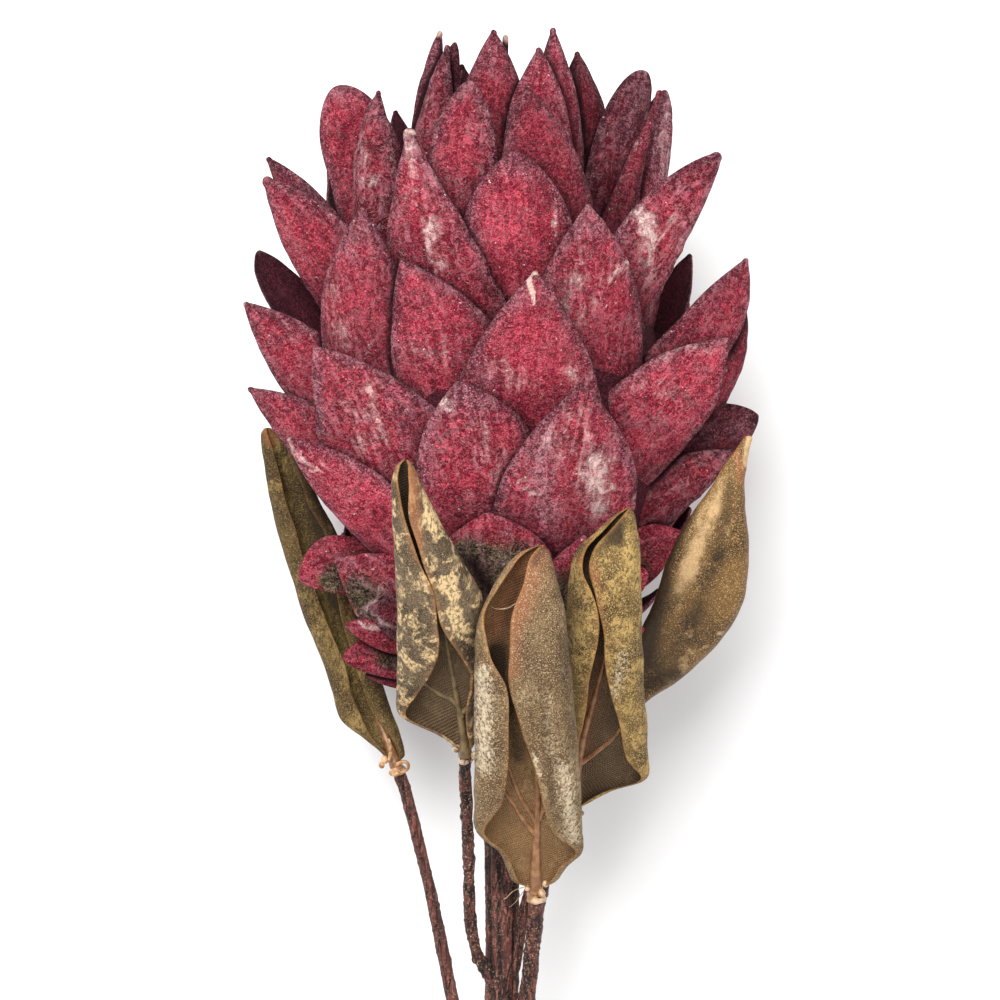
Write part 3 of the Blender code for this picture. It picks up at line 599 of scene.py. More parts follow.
def bract(seed, rows, columns, shape, floor=0.0, margins=(), crumple=0.25, tone=1.0, green=0.0,
          rim=1.0, tip_cream=0.0, frost=(), mauve=(), cream=(), moss=(), shade=(), folds=()):
    """Skin of one bract: the sheet, its swellings and folds, and a thickness rounded at the margin."""
    v = 1 - (1 - np.linspace(0, 1, rows + 1)) ** 1.6
    u = np.sin(np.linspace(-1, 1, columns + 1) * math.pi / 2)
    sheet, normal, half, to_tip = bract_sheet(u, v, seed=seed, **shape)
    x, y = sheet[..., 0], sheet[..., 1]
    grown = np.clip(v / 0.3, 0, 1)[:, None]
    ridges = 1 - 2 * np.abs(swell(sheet, RIDGE_SIZE, seed + 5))
    height = 0.55 * swell(sheet, BROAD_SIZE, seed + 3) + 0.20 * swell(sheet, SMALL_SIZE, seed + 4)
    margin = half * (1 - np.abs(u[None, :]))
    height = height + 0.45 * crumple * ridges - 0.55 * np.exp(-margin / 1.3)
    height = grown * height + marks(folds, x, y)
    sheet = sheet + normal * height[..., None]

    inset = np.clip(np.minimum(margin, to_tip + 0.05) / MARGIN_ROUND, 0, 1)
    thick = BRACT_EDGE + (BRACT_THICKNESS - BRACT_EDGE) * (1 - u[None, :] ** 2)
    thick = thick * np.sqrt(1 - (1 - inset) ** 2)
    outer = lay_down(sheet + normal * thick[..., None] / 2)
    inner = lay_down(sheet - normal * thick[..., None] / 2)
    under = np.minimum(outer[..., 2], inner[..., 2]) < floor * MM
    for skin, other in ((outer, inner), (inner, outer)):
        least = np.where(skin[..., 2] >= other[..., 2], (floor + FLOOR_SKIN) * MM, floor * MM)
        skin[..., 2] = np.where(under, np.maximum(skin[..., 2], least), skin[..., 2])

    plain = np.ones_like(x)
    near_x, near_y = [a + STRAY * swell(sheet, STRAY_SIZE, seed + k) for a, k in ((x, 8), (y, 9))]
    cream_here = np.clip(marks(cream, x, y) + tip_cream * np.exp(-(to_tip / 2.2) ** 2), 0, 1)
    # painted shade: darker towards the foot, where the bract below covers it
    shaded = 0.6 + 0.4 * np.clip((v[:, None] - 0.3) / 0.4, 0, 1)
    # rim darkens towards the margins: partly a rubbed rim, partly painted shade where the bract curves away
    look = dict(rim=np.clip(rim * 1.05 * np.exp(-np.minimum(margin, to_tip) / 3.0), 0, 1.1) * plain,
                edge=np.exp(-(np.minimum(margin, to_tip) / 0.35) ** 2) * plain,
                # painted shadow beside overlapping margins, plus the painted shade strokes
                crevice=np.clip(crevice(sheet, margins) + marks(shade, x, y), 0, 0.95),
                across=half * u[None, :] * MM + 0 * x, along=to_tip * MM + 0 * x,
                own=0.001 * (seed % 997) * plain,
                tone=tone * shaded * plain, crumple=crumple * plain,
                frost=np.clip(marks(frost, near_x, near_y), 0, 1),
                mauve=np.clip(marks(mauve, near_x, near_y), 0, 1),
                cream=cream_here,
                green=(green * np.clip(margin / 3.0 - 0.25, 0, 1) * np.clip((to_tip - 3) / 10, 0, 1)
                       + np.clip(marks(moss, x, y), 0, 1)))
    return blade_skin(outer, inner, {key: (a, a) for key, a in look.items()})


print("bract thickness", BRACT_THICKNESS, "mm, rounded within", MARGIN_ROUND, "mm of its margin")

# %% [markdown]
# ## The bracts that show from the front
#
# Each row places one bract: where its tip is, the azimuth and height of its root, its width and
# how far its tip splays from the axis. A few are turned to one side, narrow, or hooked, as real
# ones are where their neighbours push them.

# %% Table of the front bracts
FRONT_BRACTS = [
    ("crown_far_left", (-15.8, 119.4, -3), (-86, 60), 7.5, -12, dict(face=-30, cup=12, soft=0.6)),
    ("crown_left", (-14, 115.5, 3), (-84, 54), 13, -12, dict(face=-30, cup=14, point=1.3, keel=0.25)),
    ("crown_behind_left", (-12, 116.5, -2), (-70, 60), 8, -10, dict(face=-10, soft=0.5)),
    ("crown_nub", (0.9, 117.6, 9), (-4, 66), 3.5, -10, dict(face=0)),
    ("crown_middle_left", (-2.2, 118.6, 13), (-24, 62), 20, -10,
     dict(face=-6, cup=16, point=1.4, skew=0.2)),
    ("crown_middle_right", (9.3, 114, 15), (20, 58), 20, -8, dict(face=8, cup=16, point=1.3)),
    ("crown_right", (12.9, 119.5, 7), (56, 62), 15, -6, dict(face=18, cup=14, point=1.3, keel=0.2)),
    ("crown_dark_right", (19.2, 114.2, -3), (68, 56), 18, -6, dict(face=26, cup=13)),
    ("second_right", (36.4, 109, 1), (70, 34), 15, 20,
     dict(face=28, cup=12, point=2.2, soft=0.5, blunt=2.6, widest=0.6)),
    ("second_right_fold", (40.4, 103.6, 7), (66, 30), 14, 18,
     dict(face=34, cup=10, point=1, soft=1.1, widest=0.22, skew=-0.2)),
    ("second_far_right", (41.6, 104.5, -5), (76, 30), 19, 10, dict(face=40, cup=12, soft=0.6)),
    ("second_far_left", (-42.3, 105.6, -6), (-84, 34), 21, 22,
     dict(face=-10, cup=20, widest=0.7, point=1.8, soft=0.55)),
    ("second_left", (-31, 103, 16), (-72, 34), 20, -7,
     dict(face=-30, cup=9, point=1.5, skew=-0.2, keel=0.2)),
    ("second_middle_left", (-8, 104.4, 33), (-20, 40), 19.5, -4,
     dict(face=-10, point=1.7, soft=0.6, skew=-0.08)),
    ("second_middle_right", (6.2, 102.8, 34), (30, 36), 25, -4, dict(face=14, point=1.6)),
    ("third_left", (-23, 92.2, 38), (-16, 24), 36, -6,
     dict(face=-20, cup=24, widest=0.24, point=1, soft=1, blunt=1.7, skew=-0.05)),
    ("third_middle", (3.2, 86.2, 46), (8, 24), 31, 14, dict(face=4, point=1.8, soft=0.75)),
    ("third_right", (53.8, 86.8, 22), (44, 8), 21, 38,
     dict(face=20, cup=18, point=1.5, soft=0.7, hook=1, skew=0.02, blunt=1.6)),
    ("third_back_left", (-60.2, 87, -4), (-84, 16), 22, 38, dict(face=-60)),
    ("third_far_left", (-59.8, 81, 18), (-58, 6), 24, 42,
     dict(face=-30, cup=20, point=1.8, skew=-0.15, blunt=1.6)),
    ("fourth_left", (-34.6, 72.2, 44), (-48, 2), 33, 16,
     dict(face=-30, point=1.3, skew=-0.22, foot=0.75)),
    ("fourth_middle_left", (-25, 59.6, 46), (-14, -12), 34, 18,
     dict(face=-18, point=1.4, skew=0.3, foot=0.85)),
    ("fourth_middle_right", (21.2, 73, 47), (32, 2), 36, 14,
     dict(face=24, point=1.45, foot=0.85, widest=0.42, skew=0.12)),
    ("fourth_right", (61.9, 60.9, 14), (60, 22), 18, 14, dict(face=30, cup=18, skew=0)),
    ("fourth_far_right", (61.6, 49.4, 6), (80, 4), 17, 8, dict(face=52, cup=12, point=1.4, soft=0.7)),
    ("fourth_back_left", (-62.6, 63, -4), (-84, 6), 22, 36, dict(face=-128, soft=0.6, blunt=1.6)),
    ("fourth_far_left", (-65.2, 49.6, 14), (-66, -6), 22, 46, dict(face=-34)),
    ("fifth_middle", (8.1, 56, 59), (8, -16), 43, 18, dict(face=6, point=1.2, widest=0.42)),
    ("fifth_left", (-46.5, 38.2, 40), (-26, -24), 38, 26, dict(face=-26, point=1.3, skew=0.08)),
    ("fifth_right", (56.5, 40.4, 28), (32, -8), 29, 38,
     dict(face=30, cup=26, point=1.6, soft=0.9, skew=0.15, foot=0.95)),
    ("fifth_far_left", (-63.9, 28.2, 14), (-50, -24), 19, 52, dict(face=-30, cup=22)),
    ("sixth_left", (-10.8, 29.2, 57), (2, -28), 34, 18, dict(face=-6, point=1.9, soft=0.85)),
    ("sixth_right", (19.6, 28.4, 60), (16, -32), 38, 18, dict(face=16, point=1.5, skew=0.1)),
    ("sixth_far_right", (65, 21.6, 2), (70, -12), 23, 56,
     dict(face=40, cup=16, soft=0.7, point=1.8, skew=-0.15)),
    ("sixth_side_right", (58.6, 12.4, 12), (54, -22), 17, 58, dict(face=36, cup=14)),
    ("seventh_left", (-53.2, 15.2, 38), (-34, -32), 20, 48, dict(face=-34, cup=20)),
    ("seventh_middle", (-3.7, -3.2, 51), (0, -40), 33, 22, dict(point=2.2, soft=0.85)),
    ("seventh_right", (20.6, -9, 48), (22, -41), 26, 22, dict()),
    ("seventh_far_right", (45.6, -8.1, 14), (58, -32), 18, 66, dict(face=25)),
    ("base_far_left", (-51.4, -19, 14), (-60, -22), 15, 78,
     dict(face=-16, soft=0.5, point=2.6, widest=0.6, skew=0.6)),
    ("base_left", (-41.9, -14.8, 27), (-44, -36), 27, 60,
     dict(face=-24, soft=0.9, point=1.05, widest=0.4)),
    ("base_left_inner", (-32.8, -26.8, 36), (-38, -33), 14, 72,
     dict(face=-20, soft=0.75, point=1.4, skew=0.15)),
    ("base_left_low", (-39.2, -31.4, 21), (-54, -38), 10, 80, dict(face=-20, soft=0.8, point=1.4)),
    ("base_left_lower", (-40, -39.6, 15), (-62, -43), 12, 84, dict(face=-20, soft=0.6, skew=0.3)),
    ("base_left_lowest", (-34.4, -44.2, 11), (-62, -47), 8, 86, dict(face=-20, soft=0.7, skew=0.2)),
    ("base_right", (36.6, -18.4, 20), (54, -26), 12, 72, dict(face=25, soft=0.6)),
    ("base_right_low", (35.6, -32.4, 20), (54, -38), 8, 78, dict(face=25, soft=0.6)),
]
print(len(FRONT_BRACTS), "bracts on the front")

# %% [markdown]
# ## The rest of the head
#
# The side that lies on the ground and the two flanks carry the same kind of bracts in ruled rows.
# Three bracts are pressed flat under the head's weight, and young ones close the crown.

# %% Tables of the other bracts
REST_BRACTS = [
    ("rest_middle", (-2, 50, -65.9), (181, -16), 34, 14, dict()),
    ("rest_left", (-27, 27, -61.6), (201, -28), 32, 14, dict(face=187)),
    ("rest_right", (25, 31, -62.3), (159, -26), 32, 14, dict(face=173)),
]

# A row is azimuths, radius and y of its tips, y of its roots, width and splay.
BACK_ROWS = [
    ((142, 180, 220), 16, 114, 58, 21, -6),
    ((128, 162, 197, 234), 35, 102, 32, 27, 6),
    ((118, 150, 184, 216, 247), 49, 84, 8, 29, 14),
    ((124, 143, 166, 200, 230), 58, 63, -8, 33, 20),
    ((110, 142, 222, 252), 62, 41, -20, 35, 24),
    ((108, 131, 234), 59, 19, -28, 34, 30),
    ((108, 147, 184, 214, 236), 50, -3, -36, 28, 32),
    ((107, 133, 166, 200, 234), 42, -22, -42, 21, 48),
]

SIDE_ROWS = [
    ((-97, 97), 16, 103, 60, 17, -4),
    ((-98, 98), 35, 91, 38, 26, 2),
    ((-96, 96), 43, 71, 14, 31, 10),
    ((-99, 99), 48, 51, -6, 33, 18),
    ((-96, 96), 49, 30, -20, 33, 24),
    ((-98, 98), 46, 11, -30, 30, 30),
    ((-95, 95), 41, -8, -38, 24, 36),
]

BUD_ROWS = [
    ((20, 110, 200, 290), 6, 104, 76, 16, -24),
    ((65, 155, 245, 335), 11, 109, 66, 18, -16),
]


def ruled_bracts(rows, seed):
    """Shapes of the bracts that the rows describe, each a little different."""
    chance = random.Random(seed)
    for row, (azimuths, radius, y, root_y, width, splay) in enumerate(rows):
        for column, azimuth in enumerate(azimuths):
            turn = math.radians(azimuth + chance.uniform(-3, 3))
            r = radius * chance.uniform(0.97, 1.03)
            tip = (r * math.sin(turn), y + chance.uniform(-2.5, 2.5), r * math.cos(turn))
            shape = dict(tip=tip, root=(azimuth + chance.uniform(-6, 6), root_y),
                         width=width * chance.uniform(0.95, 1.06), splay=splay + chance.uniform(-3, 3))
            chance.uniform(0, 6)  # one more draw, which goes unused
            yield row, shape


for where, rows in dict(back=BACK_ROWS, sides=SIDE_ROWS, crown=BUD_ROWS).items():
    print(where, sum(len(row[0]) for row in rows), "bracts")

# %% [markdown]
# ## Wear, stains, painted shade and folds of single bracts
#
# A stroke is (x0, y0, x1, y1, width, amount) in millimetres, seen from the front. Frost is the
# nearly white wear, mauve a greyed part, moss a green stain, shade painted shade in a dark hollow,
# cream the ivory backing that shows where a tip has curled, and a fold raises the surface along its stroke.

# %% Looks of single bracts
LOOKS = {
    "fifth_middle": dict(
        crumple=0.12, cream=[(5.2, 55.8, 9.8, 56, 1, 0.9), (6.3, 55, 7.4, 51, 0.75, 1),
                             (7.4, 51, 7.8, 48.4, 0.4, 0.9)],
        folds=[(6.2, 55, 7.8, 47, 1, 0.5), (5.4, 56.2, 9.8, 56.2, 1, 0.5)],
        frost=[(-1, 33, 7, 29, 3, 0.35), (17, 32, 21, 26, 3, 0.45)],
        mauve=[(-9, 38, -4, 29, 3.5, 0.6), (3, 50, 10, 50, 3.5, 0.45)]),
    "fourth_middle_right": dict(
        crumple=0.3, frost=[(31.5, 59.5, 26.6, 55.4, 0.7, 1), (15, 48, 21, 61, 2.4, 0.4),
                            (18, 42, 28, 58, 2.2, 0.3)],
        folds=[(31.5, 59.5, 26.6, 55.4, 0.9, 0.45)],
        mauve=[(14, 66, 24, 68, 4, 0.6), (35, 56, 37, 40, 3.5, 0.9),
               (11, 52, 12, 42, 3, 0.5)]),
    "third_middle": dict(
        crumple=0.15, tone=1.05, frost=[(13.3, 73.3, 12.6, 66, 0.4, 1)],
        folds=[(13.3, 73.3, 12.8, 65, 0.7, 0.5)],
        mauve=[(-9.5, 70, -8, 64, 3, 0.9), (0, 84, 5, 83, 4, 0.6),
               (14, 79, 16, 70, 2.5, 0.5)]),
    "third_right": dict(
        crumple=0.65, tone=1.02, frost=[(34, 72, 37.5, 66, 1.8, 0.85), (37, 69, 36, 57, 2.6, 0.5),
                                        (43, 72, 44, 60, 2.6, 0.25)],
        mauve=[(50, 86, 54, 87, 2.5, 0.8)]),
    "third_left": dict(
        crumple=0.45, cream=[(-24, 91.6, -20.8, 90.8, 0.9, 0.7)],
        frost=[(-23.5, 90, -21.5, 80, 1.4, 0.55), (-18, 67, -15.5, 58, 2.6, 0.5),
               (-21, 76, -18, 68, 2, 0.3)],
        folds=[(-23, 91, -20.5, 78, 1.2, 0.5)]),
    "fourth_left": dict(
        crumple=0.4, frost=[(-42, 51.5, -38, 38.5, 2.2, 0.45)], mauve=[(-34, 70, -38, 62, 3, 0.5)]),
    "fourth_middle_left": dict(
        crumple=0.3, tone=1.05, cream=[(-32.6, 32.6, -28.4, 28.6, 0.7, 0.8)],
        frost=[(-32.5, 32.5, -28, 28.5, 1.5, 0.8), (-24, 27, -17.5, 22.4, 1.8, 0.7),
               (-22, 38, -14, 36, 2, 0.35)],
        folds=[(-27, 40, -12, 37, 1.2, 0.4), (-28, 35, -14, 32, 1.2, 0.35)]),
    "fifth_left": dict(
        crumple=0.45, frost=[(-32.5, 28.5, -30, 15, 2.4, 0.45), (-38, 24, -34, 12, 2, 0.3)],
        mauve=[(-47.5, 36, -46, 18, 2.4, 0.9), (-28, 26, -22, 16, 3, 0.4)]),
    "fifth_right": dict(
        crumple=0.35, tone=1.05, frost=[(38, 37, 50, 38, 2.4, 0.3), (34, 28, 46, 26, 2.4, 0.25)]),
    "sixth_left": dict(
        crumple=0.5, mauve=[(-17, 27, -5, 25, 4, 0.9), (-19, 18, -19, 6, 3, 0.5)],
        frost=[(-16, 25, -13, 23, 1.4, 0.8), (-1.5, 8, 0.6, -0.5, 1.5, 0.7),
               (-8, 18, -2, 12, 3.5, 0.25)]),
    "sixth_right": dict(
        crumple=0.35, frost=[(22.6, 8.6, 23.4, 3, 4.2, 0.95), (24, -1.5, 23.6, -3, 1.4, 0.9),
                             (3, 6, 8.8, 1.4, 0.5, 0.9), (12, 14, 18, 20, 4.5, 0.35),
                             (34, 1.5, 35.5, 0, 1.6, 0.6)],
        mauve=[(9, 14, 11, -4, 4, 0.75), (29, 16, 31, 8, 2.5, 0.6)]),
    "seventh_left": dict(tone=1.2, crumple=0.2, tip_cream=0.5, frost=[(-52, 13, -46, 8, 2, 0.35)]),
    # seventh_middle's shade stroke is painted shadow under the leaves that lie over it
    "seventh_middle": dict(green=1, tone=0.95, crumple=0.4, rim=0.25,
                           moss=[(-9, -13, -1, -18, 3.5, 0.9)],
                           shade=[(-7.5, -15, -3, -22, 2.2, 1)],
                           frost=[(0.5, -14, 3, -19, 1.6, 0.4)]),
    "seventh_right": dict(green=0.85, crumple=0.3, rim=0.5),
    "seventh_far_right": dict(green=0.6, tone=1.25, rim=0.3),
    "base_far_left": dict(green=0.2, tone=1, rim=0.4, moss=[(-43, -20.5, -38, -17.5, 3.6, 1.1)]),
    "base_left": dict(green=0.3, tone=1, rim=0.4, crumple=0.6, mauve=[(-41, -15, -30, -15, 2.5, 0.3)],
                      moss=[(-36.5, -22, -31, -29, 3.8, 1.1)],
                      frost=[(-29, -20.5, -33.5, -27, 0.7, 0.9), (-38, -28, -30, -33, 0.8, 0.8)],
                      folds=[(-41.5, -15.5, -31, -24, 0.9, 0.9)]),
    "base_left_inner": dict(green=0, tone=0.62, rim=1.2, crumple=0.5,
                            frost=[(-32, -24, -28.6, -20.6, 0.5, 0.8), (-32.6, -28, -27.5, -31.5, 0.6, 0.7)]),
    "base_left_low": dict(green=0.3, tone=1, crumple=0.5, rim=0.1,
                          frost=[(-36, -31, -32, -31.5, 0.7, 0.8)]),
    "base_left_lower": dict(green=1.2, tone=1, rim=0.2),
    "base_left_lowest": dict(green=0.8, tone=0.85, rim=0.3),
    "base_right": dict(tone=1.3, rim=0.1), "base_right_low": dict(tone=1.3, rim=0.1),
    "crown_middle_left": dict(tip_cream=0.2, crumple=0.35, tone=0.8, mauve=[(-3, 116, -3, 110, 3, 0.6)]),
    "crown_far_left": dict(tip_cream=0.9, crumple=0.3, mauve=[(-15.8, 117, -18, 100, 3, 1)]),
    "crown_behind_left": dict(tone=0.6), "crown_nub": dict(tip_cream=1),
    # crown_dark_right: its low tone and wide dark rim are painted shade
    "crown_right": dict(crumple=0.3, tone=1.05), "crown_dark_right": dict(tone=0.55, rim=1.2),
    "crown_left": dict(crumple=0.6, tone=0.85, frost=[(-16, 110, -19, 100, 1.4, 0.3)]),
    "second_left": dict(crumple=0.9, tone=0.85, frost=[(-35, 92, -33, 78, 1.6, 0.4)]),
    "second_middle_left": dict(crumple=0.5, tone=0.88, mauve=[(-14, 101, -8, 103, 3, 0.6)]),
    "second_middle_right": dict(crumple=0.1, tone=0.7, folds=[(14.5, 96, 18.8, 89.5, 0.8, 0.4)],
                                frost=[(14.5, 96, 18.8, 89.5, 0.5, 0.5)]),
    "second_right": dict(crumple=0.5, tone=0.62, rim=1.2, tip_cream=0.3,
                         mauve=[(36, 106, 30, 92, 3, 0.9)],
                         frost=[(35, 97, 38, 99, 0.7, 0.6)]),
    "second_right_fold": dict(crumple=0.3, tone=0.68, rim=0.6, frost=[(29, 88, 35, 90.5, 0.7, 0.5)]),
    "second_far_right": dict(tone=1.1, rim=0.5, mauve=[(41, 106, 41, 70, 5, 1)],
                             frost=[(41.5, 102, 41, 84, 2.2, 0.35)]),
    "second_far_left": dict(crumple=0.2, mauve=[(-44, 104, -40, 104, 2.5, 0.5)]),
    "third_far_left": dict(crumple=0.25), "third_back_left": dict(rim=1.4, tone=0.9),
    "fourth_far_left": dict(tip_cream=0.5, crumple=0.3),
    "fourth_back_left": dict(tip_cream=0.5, tone=0.8),
    "sixth_far_right": dict(rim=1.3, tone=0.5, mauve=[(64, 21, 50, 16, 3.5, 0.8)]),
    "sixth_side_right": dict(crumple=0.5, tone=0.85, frost=[(50, 9, 44, 4, 3, 0.3)]),
}
print(len(LOOKS), "bracts have a look of their own")

# %% [markdown]
# ## The layers of the head
#
# The bracts of one height make one piece. Fine grids go to the front, which is looked at most,
# and coarser ones to the side that lies down.

# %% Build the head
CORE = [(-49, 11), (-38, 22), (-20, 33), (0, 41), (25, 43),
        (50, 37), (68, 27), (82, 16), (93, 4)]
BACK_CLEARANCE = 0.5

FRONT_GRID, REST_GRID, BACK_GRID = (62, 34), (40, 26), (36, 24)
SIDE_GRID, BUD_GRID = (30, 20), (30, 16)
REST_SEED, BACK_SEED, SIDE_SEED, BUD_SEED, SEED_STEP = 5000, 6000, 8000, 9000, 40
SEEN_FROM = 0.25

layers, shapes, margins = {}, [], []
for number, (name, tip, root, width, splay, extra) in enumerate(FRONT_BRACTS):
    shapes.append(dict(tip=tip, root=root, width=width, splay=splay, **extra))
    both_sides = bract_sheet(np.array([-1.0, 1.0]), np.linspace(SEEN_FROM, 1, 110),
                             seed=SEED_STEP * number, **shapes[-1])[0]
    margins.append(both_sides.reshape(-1, 3))
for number, (name, *_) in enumerate(FRONT_BRACTS):
    others = margins[:number] + margins[number + 1:]
    skin = bract(SEED_STEP * number, *FRONT_GRID, shapes[number], margins=others,
                 **LOOKS.get(name, {}))
    layers.setdefault("bracts_" + name.split("_")[0], []).append(skin)
for number, (name, tip, root, width, splay, extra) in enumerate(REST_BRACTS):
    shape = dict(tip=tip, root=root, width=width, splay=splay, **extra)
    skin = bract(REST_SEED + SEED_STEP * number, *REST_GRID, shape)
    layers.setdefault("bracts_resting", []).append(skin)
for number, (row, shape) in enumerate(ruled_bracts(BACK_ROWS, 5)):
    layer = "bracts_back_upper" if row < 4 else "bracts_back_lower"
    skin = bract(BACK_SEED + SEED_STEP * number, *BACK_GRID, shape, tone=0.95,
                 floor=BACK_CLEARANCE + 0.05 * number, green=0.4 if row > 5 else 0.0)
    layers.setdefault(layer, []).append(skin)
for number, (row, shape) in enumerate(ruled_bracts(SIDE_ROWS, 13)):
    skin = bract(SIDE_SEED + SEED_STEP * number, *SIDE_GRID, shape, tone=0.9)
    layers.setdefault("bracts_side", []).append(skin)
for number, (row, shape) in enumerate(ruled_bracts(BUD_ROWS, 9)):
    skin = bract(BUD_SEED + SEED_STEP * number, *BUD_GRID, shape)
    layers.setdefault("bracts_bud", []).append(skin)
for layer, skins in layers.items():
    piece(layer, skins, [felt, felt_inside], "bracts", "bloom")

# %% [markdown]
# ## The core of the head
#
# Behind the bracts a plain swollen body holds their feet. It hardly shows, so it is a smooth
# turned shape with a few soft dents, in the felt of the bract insides, darkened with painted shade.


# %% Rings round a path
def rings_round(path, radii, sides):
    """Rings of points round a path (rows, 3): radius times cos and sin across the path."""
    path, radii = np.asarray(path, dtype=float), np.asarray(radii, dtype=float)
    along = np.gradient(path, axis=0)
    along /= np.linalg.norm(along, axis=1)[:, None]
    first = np.cross(along, np.broadcast_to([0.0, 0.0, 1.0], along.shape))
    first /= np.linalg.norm(first, axis=1)[:, None]
    second = np.cross(along, first)
    angle = np.arange(sides) * 2 * math.pi / sides
    way = (np.cos(angle)[None, :, None] * first[:, None, :]
           + np.sin(angle)[None, :, None] * second[:, None, :])
    return path[:, None, :] + radii[:, None, None] * way, way


CORE_SINK, CORE_FLOOR = 1.0, 2.5
profile = smooth_through(CORE, 90)
core_rings, core_way = rings_round(np.stack([0 * profile[:, 0], profile[:, 0], 0 * profile[:, 0]], 1),
                                   np.maximum(profile[:, 1] - CORE_SINK, 1.0), 96)
core_rings += core_way * (0.8 * swell(core_rings, 14, 11))[..., None]
core_skin = tube_skin(lay_down(core_rings), dict(tone=0.8, rim=0.2, crumple=0.2))
core_skin["points"][:, 2] = np.maximum(core_skin["points"][:, 2], CORE_FLOOR * MM)
piece("bloom_core", [core_skin], [felt_inside], "bracts", "bloom")

# %% [markdown]
# ## Leaves that have rolled over
#
# A dried leaf curls across its width: from each margin the blade rolls over and lies back above
# its own middle. A section is therefore a margin, a roll, a flat back and the same again, and a
# row of numbers for each height gives its outline, where the margins end, how far back the blade
# lies and how deep the roll is. The far right leaf has rolled away from the viewer.

